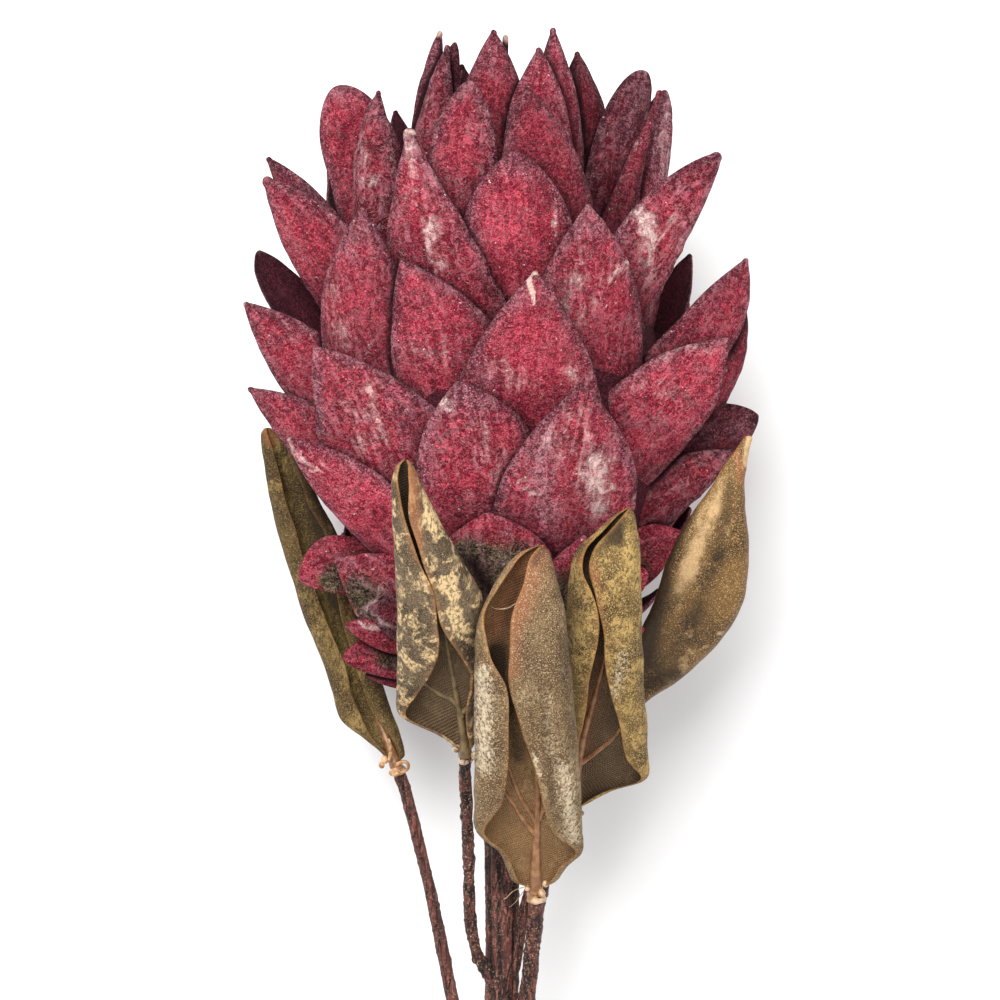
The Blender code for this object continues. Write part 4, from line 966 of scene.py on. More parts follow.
# %% Tables of the leaves and the stem
LEAVES = {
    "leaf_far_left": [
        (-66.5, -29, -25.6, -28.8, -25.8, -3, 1.2),
        (-64.5, -30.2, -25.2, -29.6, -25.9, -3.2, 1.8),
        (-60.5, -35, -26, -33, -28, -4, 3.5),
        (-56, -40.5, -27.5, -35.5, -31.5, -5.3, 5.5),
        (-49, -42.8, -30, -38.2, -34.6, -7.4, 6.5),
        (-41, -45.5, -33, -40.8, -37.4, -9.6, 7),
        (-31, -49.8, -37, -45, -40.5, -12.4, 7),
        (-21, -53, -39.5, -48.6, -42.6, -14, 7),
        (-10, -56.5, -42, -52.2, -44.4, -15, 6.5),
        (0, -59, -47.2, -55.4, -49.5, -15.5, 6),
        (8.8, -60.5, -51, -57.6, -53, -15.5, 5),
        (15, -61.2, -54, -59.6, -55.6, -15.1, 3),
        (18.5, -61.3, -58.8, -60.8, -59.3, -14.9, 1.2),
    ],
    "leaf_left": [
        (-62.5, -10.9, -7.6, -10.7, -7.5, 31, 1.2),
        (-60.5, -12.6, -7.3, -12, -7.8, 32, 1.8),
        (-58, -16.5, -7.3, -15.4, -8.4, 33.4, 3),
        (-53.5, -25, -7.3, -24, -8.6, 36, 5),
        (-48, -25.8, -7.5, -21.4, -8, 39, 7.5),
        (-44, -25.6, -7.5, -18.6, -7.6, 41.5, 9),
        (-39, -25.5, -7.1, -16.6, -9.6, 44, 10),
        (-32, -25.5, -6.1, -16, -14, 48, 10.5),
        (-24, -25.5, -5.1, -16.8, -15.8, 52, 10.5),
        (-15, -25.9, -9.9, -20.4, -19.2, 56, 10),
        (-5, -26.4, -15.5, -23.6, -22.4, 60, 8.5),
        (3.5, -26.6, -19.9, -25.2, -22.3, 62.6, 6),
        (8, -25.6, -21.9, -25, -22.5, 63.8, 3),
        (9.8, -24.4, -22.6, -24.2, -22.8, 64.2, 1),
    ],
    "leaf_middle": [
        (-97.6, 6.6, 10.6, 6.9, 10.3, 15, 1.2),
        (-95.8, 3.2, 13.4, 4, 12.6, 16.3, 2),
        (-92, 1.4, 16, 2.4, 15, 19.25, 3.5),
        (-88, -0.4, 19.8, 0.8, 19, 22.25, 5),
        (-82.5, -6.2, 19.8, -4.6, 13, 26.62, 7),
        (-75, -6.5, 19.4, -0.6, 10.4, 32, 9),
        (-66, -6.5, 18.8, 1.2, 8.2, 37, 10),
        (-56, -6.5, 18, 1.4, 4.8, 42.5, 10.5),
        (-46, -6.5, 17, 0.9, 2.2, 48, 10.5),
        (-38, -6.4, 16.2, -3.4, 2, 52, 10),
        (-29, -5.5, 15.2, -4.5, 2.6, 56, 9),
        (-21, -1.8, 13.6, -0.8, 5, 59, 7),
        (-15, 2.2, 11.9, 3, 6.6, 61.1, 4.5),
        (-12, 6.2, 10.9, 6.8, 8.8, 62.1, 2.5),
        (-11, 9.2, 10.5, 9.5, 10.2, 62.4, 1),
    ],
    "leaf_right": [
        (-77.6, 16.6, 20.2, 16.8, 20, 11, 1.2),
        (-75.6, 16.8, 22.6, 17.2, 22, 12, 1.8),
        (-73, 17, 28, 17.6, 27, 13.6, 2.6),
        (-70.2, 17, 35.8, 17.8, 34.8, 15.4, 4),
        (-65, 17, 36.2, 18.2, 31.6, 19, 7),
        (-57, 17, 35.8, 19.6, 29.6, 24.5, 9),
        (-49, 17, 35, 20.8, 27.2, 30, 10),
        (-40, 16.4, 34.5, 22.2, 25.6, 35.5, 10.5),
        (-31, 16, 34.2, 23.6, 24.8, 41, 10.5),
        (-24, 16.3, 34, 22.2, 23.4, 45, 10),
        (-17.5, 17, 33.8, 19.6, 21.4, 48.5, 9),
        (-12, 19, 33.5, 20.2, 23, 51, 7),
        (-7.5, 23.6, 32.9, 24.6, 26.6, 52.8, 4.5),
        (-3.8, 27.6, 32.2, 28.2, 29.8, 54, 2.5),
        (-2, 30.4, 31.7, 30.6, 31.4, 54.4, 1),
    ],
    "leaf_far_right": [
        (-62.6, 21.2, 24.8, 21.4, 24.6, 3.5, -1.2),
        (-60.6, 21.8, 27, 22.2, 26.6, 3.8, -1.8),
        (-56.5, 23.6, 31, 24.2, 30.2, 4, -2.8),
        (-50.5, 26.2, 37.2, 27.2, 36, 4.4, -4),
        (-46.5, 28.2, 43.4, 29.4, 42, 5.2, -5),
        (-41.5, 31.2, 49.2, 32.6, 47.4, 8.5, -4),
        (-35, 34.4, 55.2, 36, 53, 13.5, -4.2),
        (-25, 38.6, 60.4, 40.6, 57.8, 20.5, -4.8),
        (-15, 41.8, 61.4, 44, 58.8, 26, -5.5),
        (-5, 46.8, 60.8, 48.6, 58.6, 29.5, -5.5),
        (3, 52.2, 60, 53.2, 58.4, 31, -4.5),
        (10, 56.6, 60.9, 57.2, 60, 31, -2.5),
        (16, 60.9, 62.2, 61.2, 62, 30.5, -1),
    ],
}

BRANCHES = {
    "leaf_far_left": ([(0, -180, 0), (-4, -166, -0.6), (-9, -143, -1.4), (-13, -125, -2.2),
                       (-16, -110, -2.8), (-19.3, -95, -3), (-24.3, -75, -3)],
                      [2.6, 2.1, 1.7, 1.6, 1.55, 1.5, 1.5, 1.5]),
    "leaf_left": ([(0, -128, 0), (-2.6, -121, 2.6), (-6.2, -115, 6), (-8, -105, 10.5),
                   (-8.4, -92, 16), (-8.8, -78, 22.5), (-9.1, -70, 26.5)],
                  [2.4, 1.9, 1.5, 1.45, 1.45, 1.45, 1.45, 1.45]),
    "leaf_middle": ([(0, -150, 0), (3.4, -140, 3.4), (6.4, -127, 7), (7.4, -115, 9.6),
                     (8.3, -105, 12)],
                    [2.8, 2.3, 2, 2, 1.9, 1.8]),
    "leaf_right": ([(0, -146, 0), (4.6, -131, 2), (7.6, -116, 3.6), (9.2, -103, 5),
                    (12.4, -91, 7), (16.4, -83, 9)],
                   [2.2, 1.7, 1.6, 1.6, 1.55, 1.5, 1.5]),
    "leaf_far_right": ([(0, -130, 0), (3.2, -117, 1), (5.4, -106, 1.4), (9.2, -93, 1.8),
                        (16.4, -77, 2.6), (20.4, -68.5, 3.1)],
                       [2.2, 1.8, 1.6, 1.6, 1.5, 1.5, 1.5]),
}

STEM = [(-282, 4.3), (-276, 4.2), (-235, 4), (-190, 4.2), (-150, 4.3), (-118, 4.2),
        (-90, 4.4), (-72, 5), (-60, 6.8), (-49.3, 9)]
print(len(LEAVES), "leaves,", len(BRANCHES), "branches")

# %% [markdown]
# ## Shape of a leaf
#
# Everything is worked out on a grid of sections. The length along a section gives each point its
# place across the leaf, which the cloth weave and the stained margins need. Both ends of the blade
# draw in along a quarter circle, so that they come out rounded.

# %% Form of a leaf
LEAF_THICKNESS = 0.75
LEAF_MARGIN_ROUND = 0.35
LEAST_LEAF_HALF = 1.1
LEAST_ROLL = 0.75
TIP_ROUND = 1.8


def rolled_side(edge, margin, direction, radius, roll, lap):
    """One half section from its outer edge: an arc that turns in, then a straight lap."""
    over = np.clip((margin - edge) * direction, 0.02, None)
    angle = math.pi - np.arcsin(np.clip(1 - over / radius, 0, 1))
    flat = np.clip(over - radius, 0, None)
    t = np.linspace(0, 1, roll + 1)[None, :] * angle
    f = np.linspace(0, 1, lap + 1)[None, 1:] ** 0.8 * (flat + 0.3)
    last = t[:, -1:] + 0 * f
    x = edge + direction * (radius - radius * np.sin(t))
    z = radius - radius * np.cos(t)
    x = np.concatenate([x, x[:, -1:] - direction * np.cos(last) * f], 1)
    z = np.concatenate([z, z[:, -1:] + np.sin(last) * f], 1)
    t = np.concatenate([t, last], 1)
    return x, z, -direction * np.sin(t), -np.cos(t)


def leaf_sheet(rows, counts, stations, seed, wave=0.45):
    """Middle surface of a rolled leaf from margin to margin, and its normals out of the roll."""
    lap, roll, back = counts
    s = smooth_through(stations, rows + 1)
    y, left, right, margin_left, margin_right, z, depth = s.T[:, :, None]
    sign = np.sign(stations[0][-1])
    fade = np.clip(np.abs(depth) / 6, 0, 1) * wave
    line = np.concatenate([y, 0 * y, 0 * y], 1)
    margin_left = margin_left + fade * swell(line, 11, seed, 6)[:, None]
    margin_right = margin_right + fade * swell(line, 11, seed + 1, 6)[:, None]
    middle, half = (left + right) / 2, np.maximum((right - left) / 2, LEAST_LEAF_HALF)
    left, right = middle - half, middle + half
    radius = np.clip(np.minimum(np.abs(depth) / 2, 0.84 * half), LEAST_ROLL, None)
    from_left = rolled_side(left, margin_left, 1, radius, roll, lap)
    from_right = rolled_side(right, margin_right, -1, radius, roll, lap)
    b = np.linspace(0, 1, back + 1)[None, 1:-1]
    across = from_left[0][:, :1] + (from_right[0][:, :1] - from_left[0][:, :1]) * b
    flat_back = across, 0 * across, 0 * across, 0 * across - 1
    x, deep, out_x, out_z = [np.concatenate([one[:, ::-1], two, three], 1)
                             for one, two, three in zip(from_left, flat_back, from_right)]
    sheet = np.stack([x, y + 0 * x, z + sign * deep], -1)
    to_end = np.clip(np.minimum(y - y[0], y[-1] - y) / TIP_ROUND, 0, 1)
    shrink = np.sqrt(np.clip(1 - (1 - to_end) ** 2, 0.03, 1))[..., None]
    core = sheet.mean(1, keepdims=True)
    return core + (sheet - core) * shrink, np.stack([out_x, 0 * x, sign * out_z], -1)


def leaf_skin(name, seed, rows=150, counts=(11, 15, 15), ripple=0.24, **strokes):
    """Skin of a leaf blade, rippled, with rounded margins; strokes are marks on either face."""
    sheet, normal = leaf_sheet(rows, counts, LEAVES[name], seed)
    steps = np.linalg.norm(np.diff(sheet, axis=1), axis=-1)
    reach = np.concatenate([np.zeros((rows + 1, 1)), np.cumsum(steps, 1)], 1)
    margin = np.minimum(reach, reach[:, -1:] - reach)
    calm = np.clip(reach[:, -1:] / 12, 0, 1)
    height = calm * (ripple * swell(sheet, 10, seed + 2) + 0.35 * ripple * swell(sheet, 3.5, seed + 3))
    x, y = sheet[..., 0], sheet[..., 1]
    sheet = sheet + normal * height[..., None]
    inset = np.clip((margin + 0.02) / LEAF_MARGIN_ROUND, 0, 1)
    thick = LEAF_THICKNESS * np.sqrt(1 - (1 - inset) ** 2)
    across = reach - reach[:, -1:] / 2
    both = dict(across=across * MM, along=y * MM, edge=np.exp(-margin / 0.55),
                wide=np.exp(-margin / 2.6))
    values = {key: (a, a) for key, a in both.items()}
    for key in ("blots", "dark", "warm", "pale"):
        out_rows, in_rows = strokes.get(key, ()), strokes.get(key + "_inside", ())
        values[key] = (np.clip(marks(out_rows, x, y), 0, 1), np.clip(marks(in_rows, x, y), 0, 1))
    outer = lay_down(sheet + normal * thick[..., None] / 2)
    inner = lay_down(sheet - normal * thick[..., None] / 2)
    return blade_skin(outer, inner, values)


# %% [markdown]
# ## Leaf finishes
#
# The outer face was printed and rubbed: a dull ground, cloudy lighter blots, a salt of fine
# specks and a rusty line along the margin. The inner face is bare cloth whose threads show.

# %% Weave group
weave, given, made = new_group("weave", [("Across", "Float", 0.0), ("Along", "Float", 0.0),
                                         ("Pitch", "Float", 0.4)], ["Thread", "Height"])
TURN_PER_METRE, SLANT = 2000 * math.pi, 0.35
turns = maths("DIVIDE", TURN_PER_METRE, given["Pitch"])
warp = maths("SINE", times(plus(given["Across"], times(given["Along"], SLANT)), turns))
weft = maths("SINE", times(minus(given["Along"], times(given["Across"], SLANT)), turns))
thread = times(warp, weft)
weave.links.new(ramp(thread, -0.8, 0.8), made["Thread"])
weave.links.new(maths("MAXIMUM", warp, weft), made["Height"])
print("group", weave.name)


# %% Leaf face materials
def leaf_face(name, ground, ground_two, blot, speck, cover=0.5, blot_size=7.0, specks=0.5,
              cloth=0.0, roughness=0.8, speck_size=0.34, edge_reach=0.6, pores=0.5, chalk=0.25):
    """Printed leaf face: two grounds in patches, blots, fine specks, dark pits and cloth."""
    material, tree, shader = new_material(name, Roughness=roughness, Specular_IOR_Level=0.25)
    place = add(tree, "ShaderNodeTexCoord", out="Object")
    long = drawn_out(place, 0.45)
    clouds = use(tree, patches, Vector=place, Size=13.0, Cover=0.5, Softness=0.14)["Mask"]
    blots = use(tree, patches, Vector=place, Size=blot_size, Cover=cover, Softness=0.05)["Mask"]
    lines = noise(long, 520.0, 4.0, 0.65, 0.8)
    salt = noise(place, 1000.0 / speck_size, 3.0, 0.75)
    pits = noise(long, 1500.0, 3.0, 0.65, 0.3)
    threads = use(tree, weave, Across=carried(tree, "across"), Along=carried(tree, "along"), Pitch=0.62)
    warm = ragged(carried(tree, "warm"), lines, 0.7, 0.5)
    colour = mix(ground, ground_two, clouds)
    chip = times(blots, ramp(lines, 0.38, 0.56, 0.2, 1.0))
    here = plus(chip, ragged(carried(tree, "blots"), lines, 1.2, chalk), clamp=True)
    faded = mix(tuple((1 - pores) * c for c in blot), blot, ramp(pits, 0.40, 0.55))
    colour = mix(colour, faded, times(here, 0.92))
    colour = mix(colour, tuple(0.25 * c for c in ground), times(ramp(pits, 0.50, 0.38), pores))
    if cloth:
        colour = mix(colour, tuple(min(1, 2.4 * c) for c in ground_two),
                     times(threads["Thread"], 0.75 * cloth))
    colour = mix(colour, (0.215, 0.075, 0.032), times(warm, 0.85))
    colour = mix(colour, speck, times(ramp(salt, 0.50, 0.68), specks))
    colour = mix(colour, (0.72, 0.60, 0.42),
                 times(ragged(carried(tree, "pale"), pits, 1.6, 0.3), 0.75))
    # dark strokes: on the far left leaf painted shade in its groove, on the far right leaf partly painted
    # shade over its lower left
    colour = mix(colour, (0.022, 0.012, 0.006),
                 times(ragged(carried(tree, "dark"), lines, 0.6, 0.5), 0.9))
    rust = times(carried(tree, "edge"), ramp(lines, 0.35, 0.6, 0.3, 1.0))
    colour = mix(colour, (0.40, 0.18, 0.055), times(rust, edge_reach))
    height = plus(times(salt, 0.2 if cloth else 0.5), times(lines, 0.8))
    height = plus(height, times(threads["Height"], 0.5 * cloth))
    dress(shader, colour, height, 0.9, 0.0004)
    return material


umber_cloth = leaf_face(
    "leaf_cloth_umber", (0.050, 0.029, 0.015), (0.088, 0.055, 0.029), (0.15, 0.10, 0.05),
    (0.24, 0.16, 0.09), cover=0.35, specks=0.3, cloth=1.0, roughness=0.75, speck_size=0.6, pores=0.3)
olive_cloth = leaf_face(
    "leaf_cloth_olive", (0.086, 0.044, 0.018), (0.180, 0.098, 0.040), (0.30, 0.18, 0.085),
    (0.42, 0.30, 0.16), cover=0.35, specks=0.35, cloth=0.8, roughness=0.75, speck_size=0.6, pores=0.3)
olive_back = leaf_face(
    "leaf_olive_back", (0.040, 0.022, 0.008), (0.090, 0.055, 0.018), (0.24, 0.155, 0.052),
    (0.42, 0.29, 0.11), cover=0.3, specks=0.6, edge_reach=0.2)
olive_trough = leaf_face(
    "leaf_olive_trough", (0.042, 0.023, 0.008), (0.100, 0.062, 0.020), (0.26, 0.17, 0.052),
    (0.44, 0.30, 0.10), cover=0.38, blot_size=9.0, specks=0.6, edge_reach=0.25)
blotched = leaf_face(
    "leaf_blotched", (0.038, 0.023, 0.013), (0.115, 0.078, 0.046), (0.64, 0.45, 0.23),
    (0.48, 0.36, 0.21), cover=0.40, blot_size=3.4, specks=0.5)
speckled = leaf_face(
    "leaf_speckled", (0.070, 0.036, 0.014), (0.145, 0.088, 0.040), (0.28, 0.195, 0.100),
    (0.58, 0.43, 0.25), cover=0.35, blot_size=7.0, specks=0.85)
gold = leaf_face(
    "leaf_gold", (0.055, 0.028, 0.009), (0.160, 0.096, 0.030), (0.42, 0.27, 0.09),
    (0.66, 0.47, 0.19), cover=0.45, blot_size=6.0, specks=0.8, speck_size=0.36)
brown = leaf_face(
    "leaf_brown", (0.046, 0.021, 0.006), (0.150, 0.078, 0.023), (0.52, 0.34, 0.17),
    (0.72, 0.46, 0.19), cover=0.12, specks=0.75, edge_reach=0.9, roughness=0.55, pores=0.15, chalk=0.45)
faces = {
    "leaf_far_left": (olive_back, olive_trough), "leaf_left": (blotched, umber_cloth),
    "leaf_middle": (speckled, olive_cloth), "leaf_right": (gold, umber_cloth),
    "leaf_far_right": (brown, umber_cloth),
}


def rib_varnish(name, low, high):
    """Smooth, slightly glossy finish of the moulded veins, in two streaky tones."""
    material, tree, shader = new_material(name, Roughness=0.36, Specular_IOR_Level=0.5)
    place = add(tree, "ShaderNodeTexCoord", out="Object")
    streaks = noise(place, 420.0, 3.0, 0.6, 0.4)
    colour = mix(low, high, ramp(streaks, 0.35, 0.65))
    dress(shader, colour, streaks, 0.35, 0.0002)
    return material


rib_olive = rib_varnish("rib_olive", (0.095, 0.060, 0.026), (0.190, 0.132, 0.060))
rib_russet = rib_varnish("rib_russet", (0.180, 0.074, 0.028), (0.330, 0.160, 0.070))
ribs = {name: rib_olive if name == "leaf_left" else rib_russet for name in LEAVES}
print(len(bpy.data.materials), "materials")

# %% [markdown]
# ## Veins and sleeves
#
# Veins stand up from the cloth like thin cords. They follow the blade, thin out along their
# length, and the midrib thickens below into the round sleeve that slips over the branch.

# %% Veins and joints
JOINT_DROP, JOINT_GAP, SLEEVE_RADIUS = 1.4, 0.3, 1.75
VEINS = {
    "leaf_left": ([(-9.2, -60.7), (-9.9, -57), (-11.1, -49.5), (-12.9, -39.6), (-14.6, -29.7)],
                  [[(-9.8, -54), (-11.7, -50.1), (-15.4, -48.1), (-19.1, -45.4), (-22.3, -42.6)],
                   [(-9.7, -52.6), (-7.9, -50.6), (-6, -48.3)]]),
    "leaf_middle": ([(8.4, -93), (8.5, -87.5), (8.8, -78.8), (8.8, -68.8), (7, -57.5), (5.5, -47.5)],
                    [[(8.4, -83.6), (7, -81.9), (5, -79.2), (3.2, -76.2), (0.2, -72), (-1.7, -69)],
                     [(8.6, -80.4), (7.5, -78.6), (4.5, -73.6), (2, -67.4), (0.2, -63.6)],
                     [(8.6, -80.6), (11.2, -76.1), (14.5, -74.1)]]),
    "leaf_right": ([(18.6, -70), (20.1, -60.3), (22.1, -52.7), (24.1, -45.2), (25.9, -37.7)],
                   [[(18.9, -66.8), (23.4, -63.3), (27.1, -60.3), (29.6, -57.3)]]),
    "leaf_far_left": ([(-30.5, -58), (-33.4, -51.5), (-36, -45)], []),
    "leaf_far_right": ([(25.5, -57), (27.6, -54.2), (30, -51.2)], []),
}


def joint(name):
    """Where a leaf's sleeve begins and the direction in which its branch arrives."""
    y, left, right, _, _, z, _ = LEAVES[name][0]
    blade = np.array([(left + right) / 2, y, z])
    direction = blade - np.array(BRANCHES[name][0][-1], dtype=float)
    direction /= np.linalg.norm(direction)
    return blade - JOINT_DROP * direction, direction


def on_blade(name, path, lift):
    """Points (x, y) put on the flat back of a leaf, a little towards the viewer."""
    ys, zs = [row[0] for row in LEAVES[name]], [row[5] for row in LEAVES[name]]
    return np.array([(x, y, np.interp(y, ys, zs) + lift) for x, y in path])


def vein_skins(name):
    """The midrib with its sleeve, and the side veins, as tubes that grow thinner."""
    main, sides = VEINS[name]
    start, direction = joint(name)
    lift = 0.4 if LEAVES[name][0][-1] > 0 else -0.4
    main = on_blade(name, main, lift)
    path = smooth_through(np.concatenate([[start, start + 2.0 * direction], main]), 90)
    radii = smooth_through([(SLEEVE_RADIUS,), (1.65,), (1.15,), (0.85,), (0.6,), (0.3,)], 90)[:, 0]
    skins = []
    side_widths = np.linspace(0.75, 0.4, 40)
    side_paths = [smooth_through(on_blade(name, side, 0.4), 40) for side in sides]
    for points, widths in [(path, radii)] + [(side, side_widths) for side in side_paths]:
        rings, way = rings_round(points, widths, 16)
        rings += way * (0.05 * swell(rings, 3.5, len(points)))[..., None]
        skins.append(tube_skin(lay_down(rings), look=2))
    return skins


# The dark strokes of the far left leaf are painted shade in its groove; those of the far right leaf are
# partly painted shade over its lower left.
STROKES = {
    "leaf_far_left": dict(dark=[(-52, 14, -44, -18, 3, 0.6)],
                          dark_inside=[(-52, 15, -43, -25, 2.8, 0.8), (-43, -25, -33, -50, 1.4, 0.7)],
                          warm=[(-60, 18.5, -59, 15, 1.6, 1)],
                          warm_inside=[(-60, 18.5, -59, 15, 1.6, 1)],
                          blots_inside=[(-50, -18, -38, -48, 3.4, 0.5)],
                          blots=[(-50, -24, -36, -50, 3, 0.5)]),
    "leaf_left": dict(blots=[(-17.7, -3.7, -17, -6, 1.8, 1.2), (-14, -20.5, -12, -23, 2, 1.2),
                             (-11.8, -27.6, -10.5, -31, 1.8, 1.2), (-19, 2, -18, -1, 1.4, 1)],
                      warm=[(-22, 6, -20.4, -12, 1.8, 0.8), (-24.5, 9, -23.5, 4, 2, 0.7)],
                      dark_inside=[(-24, 8, -21, -14, 2.5, 0.8)]),
    "leaf_middle": dict(warm=[(8, -13, 3.6, -26, 4.5, 0.85), (2.8, -24, 2.4, -42, 2.6, 0.7)],
                        warm_inside=[(6, -15, -2, -32, 4, 0.8)],
                        dark=[(10, -11.5, 8, -15, 1.5, 0.6), (14, -34, 17, -62, 1.6, 0.45),
                              (9.5, -44, 12.5, -76, 1.2, 0.45)],
                        dark_inside=[(4, -20, -1, -40, 2.4, 0.55), (-2, -38, 1, -50, 2.8, 0.9),
                                     (1, -50, 4, -64, 2, 0.6)],
                        pale=[(-4.5, -42, -4, -66, 2.8, 0.55), (15, -66, 17.5, -84, 2.4, 0.55),
                              (11, -48, 12, -62, 2, 0.3), (8, -63, 9, -68, 1, 0.6)]),
    "leaf_right": dict(warm=[(20.4, -14.5, 23, -19, 1.6, 0.9), (24.5, -22, 24, -30, 1.2, 0.5)],
                       dark=[(27.5, -7, 28.5, -10, 1.8, 0.9), (30.5, -3, 24, -12, 2.4, 0.6),
                             (20, -12, 19, -30, 2.4, 0.45)],
                       pale=[(30, -38, 28, -48, 2.2, 0.4)],
                       warm_inside=[(24, -40, 20, -60, 4, 0.5)]),
    "leaf_far_right": dict(blots=[(54.6, 5, 53, -2, 1.5, 0.55), (52.8, -3, 49, -11, 2, 0.62),
                                  (50.6, -1, 48.6, -6, 1, 0.4), (48.4, -11, 46.2, -17, 1.6, 0.5),
                                  (46.4, -17, 44.4, -22.4, 2.3, 0.66), (49.6, -12, 47.6, -19, 1.3, 0.45),
                                  (62, 16.5, 60.6, 9, 0.9, 1.4)],
                           dark=[(34.5, -38, 38.5, -22, 4.2, 1.3), (39, -22, 47, -3, 1.6, 0.9),
                                 (57, 4, 54, -14, 1.8, 0.5), (54, -14, 48, -30, 2.2, 0.45),
                                 (30, -50, 44, -44, 2.4, 0.6), (51, -30, 40, -42, 5, 0.4)],
                           warm=[(58, 15, 59.6, 5, 0.8, 1.4), (60.2, 6, 62.2, -14, 0.7, 1.2)]),
}
for number, name in enumerate(LEAVES):
    skins = [leaf_skin(name, 300 + 20 * number, **STROKES.get(name, {}))] + vein_skins(name)
    piece(name + "_blade", skins, [*faces[name], ribs[name]], "leaves", name)

# %% [markdown]
# ## The stem
#
# The stem is a moulded rod with bark: lengthwise ridges, low warts and flakes. The ridges come
# from swellings that are stretched along the stem, and the same heights darken the furrows. Three
# seams of the mould run down the main stem, and pale crumbs stick to it in clusters.


# %% Bark
def bark_skin(path, radii, rows, sides, seed, rough=1.0, salted=0.5, seams=(), end_look=0):
    """Tube along a path whose surface is ridged along it and flaked."""
    points = smooth_through(path, rows)
    rings, way = rings_round(points, smooth_through([(r,) for r in radii], rows)[:, 0], sides)
    stretched = rings * np.array([1.0, 0.22, 1.0])
    ridge = swell(stretched, 2.6, seed, 14)
    wart = np.clip(swell(rings, 2.4, seed + 1, 16), 0, 1) ** 2
    flake = np.clip(swell(rings * np.array([1.0, 0.6, 1.0]), 1.3, seed + 2, 20), 0.1, 1) - 0.1
    furrow = np.clip(-swell(rings * np.array([1.0, 0.05, 1.0]), 2.2, seed + 3, 12) - 0.15, 0, 1)
    turn = np.arange(sides)[None, :] * 360.0 / sides + 4 * swell(stretched, 9.0, seed + 4, 6)
    for seam in seams:
        furrow = np.maximum(furrow, 0.8 * np.exp(-((turn - seam) / 6.0) ** 2))
    height = rough * (0.16 * ridge + 0.22 * wart + 0.38 * flake) - 0.9 * furrow
    rings = rings + way * height[..., None]
    placed = lay_down(rings)
    placed[..., 2] = np.maximum(placed[..., 2], 0)
    raised = np.clip(0.5 + 0.6 * ridge + 0.5 * flake - 1.6 * furrow, 0, 1)
    return tube_skin(placed, dict(raised=raised, salted=salted + 0 * raised), end_look=end_look)


bark, tree, shader = new_material("moulded_bark", Roughness=0.65, Specular_IOR_Level=0.3)
place = add(tree, "ShaderNodeTexCoord", out="Object")
long = drawn_out(place, 0.22)
longer = drawn_out(place, 0.06)
grain = noise(long, 1000.0, 4.0, 0.65, 0.5)
split = noise(longer, 400.0, 1.5, 0.5, 0.3)
crack = ramp(off_middle(split), 0.028, 0.008)
clusters = use(tree, patches, Vector=place, Size=9.0, Cover=0.55, Softness=0.12)["Mask"]
pale_specks = times(ramp(noise(place, 1600.0, 3.0, 0.75), 0.565, 0.62),
                    times(carried(tree, "salted"), ramp(clusters, 0.0, 1.0, 0.3, 1.0)))
black_specks = ramp(noise(place, 1100.0, 4.0, 0.7, 0.5), 0.47, 0.39)
colour = mix((0.012, 0.005, 0.005), (0.150, 0.042, 0.031), carried(tree, "raised"))
colour = mix(colour, (0.330, 0.120, 0.090), times(ramp(grain, 0.52, 0.66), 0.7))
colour = mix(colour, (0.010, 0.006, 0.006), times(black_specks, 0.8))
colour = mix(colour, (0.008, 0.005, 0.005), times(crack, 0.85))
colour = mix(colour, (0.62, 0.46, 0.28), times(pale_specks, 0.8))
rough_grain = plus(grain, times(pale_specks, 0.4))
rough_grain = minus(rough_grain, times(crack, 0.8))
dress(shader, colour, rough_grain, 1.0, 0.0008)

cut_face, tree, shader = new_material("cut_end", Roughness=0.8)
place = add(tree, "ShaderNodeTexCoord", out="Object")
saw = noise(place, 1400.0, 3.0, 0.6)
dress(shader, mix((0.10, 0.055, 0.032), (0.26, 0.17, 0.10), saw), saw, 0.5, 0.0002)

CRUST = {"leaf_left": (2.1, 0.9), "leaf_far_left": (1.1, 0.4)}
SEAMS = (222.0, 262.0, 318.0)
stem_path, stem_radii = [(0, y, 0) for y, _ in STEM], [r for _, r in STEM]
stem_skins = [bark_skin(stem_path, stem_radii, 520, 52, 700, 1.3, 0.35, SEAMS, end_look=1)]
for number, (name, (points, radii)) in enumerate(BRANCHES.items()):
    start, direction = joint(name)
    path = points + [tuple(start - JOINT_GAP * direction)]
    rough, salted = CRUST.get(name, (1.5, 0.9))
    stem_skins.append(bark_skin(path, radii, 300, 28, 720 + 10 * number, rough, salted))
piece("stem_bark", stem_skins, [bark, cut_face], "stem_bark", "stem")

# %% [markdown]
# ## Hot-melt glue
#
# Each leaf is held to its branch by a blob of glue, squeezed out in an uneven ring with a drop or
# two beside it and thin strings where it was pulled away. It is cloudy, milky or amber, and a
# little glossy, so light goes a short way in.

# %% Glue
glue_look, tree, shader = new_material("cloudy_glue", Roughness=0.28, Specular_IOR_Level=0.5,
                                       Subsurface_Weight=0.3, Subsurface_Scale=0.0012)
shader.inputs["Subsurface Radius"].default_value = (1.0, 0.7, 0.4)
place = add(tree, "ShaderNodeTexCoord", out="Object")
cloudy = noise(place, 450.0, 3.0, 0.6, 0.5)
milky = mix((0.21, 0.145, 0.090), (0.52, 0.40, 0.28), ramp(cloudy, 0.38, 0.60))
amber = mix((0.27, 0.12, 0.040), (0.60, 0.37, 0.19), ramp(cloudy, 0.38, 0.60))
dress(shader, mix(milky, amber, carried(tree, "amber")), cloudy, 0.5, 0.0004)


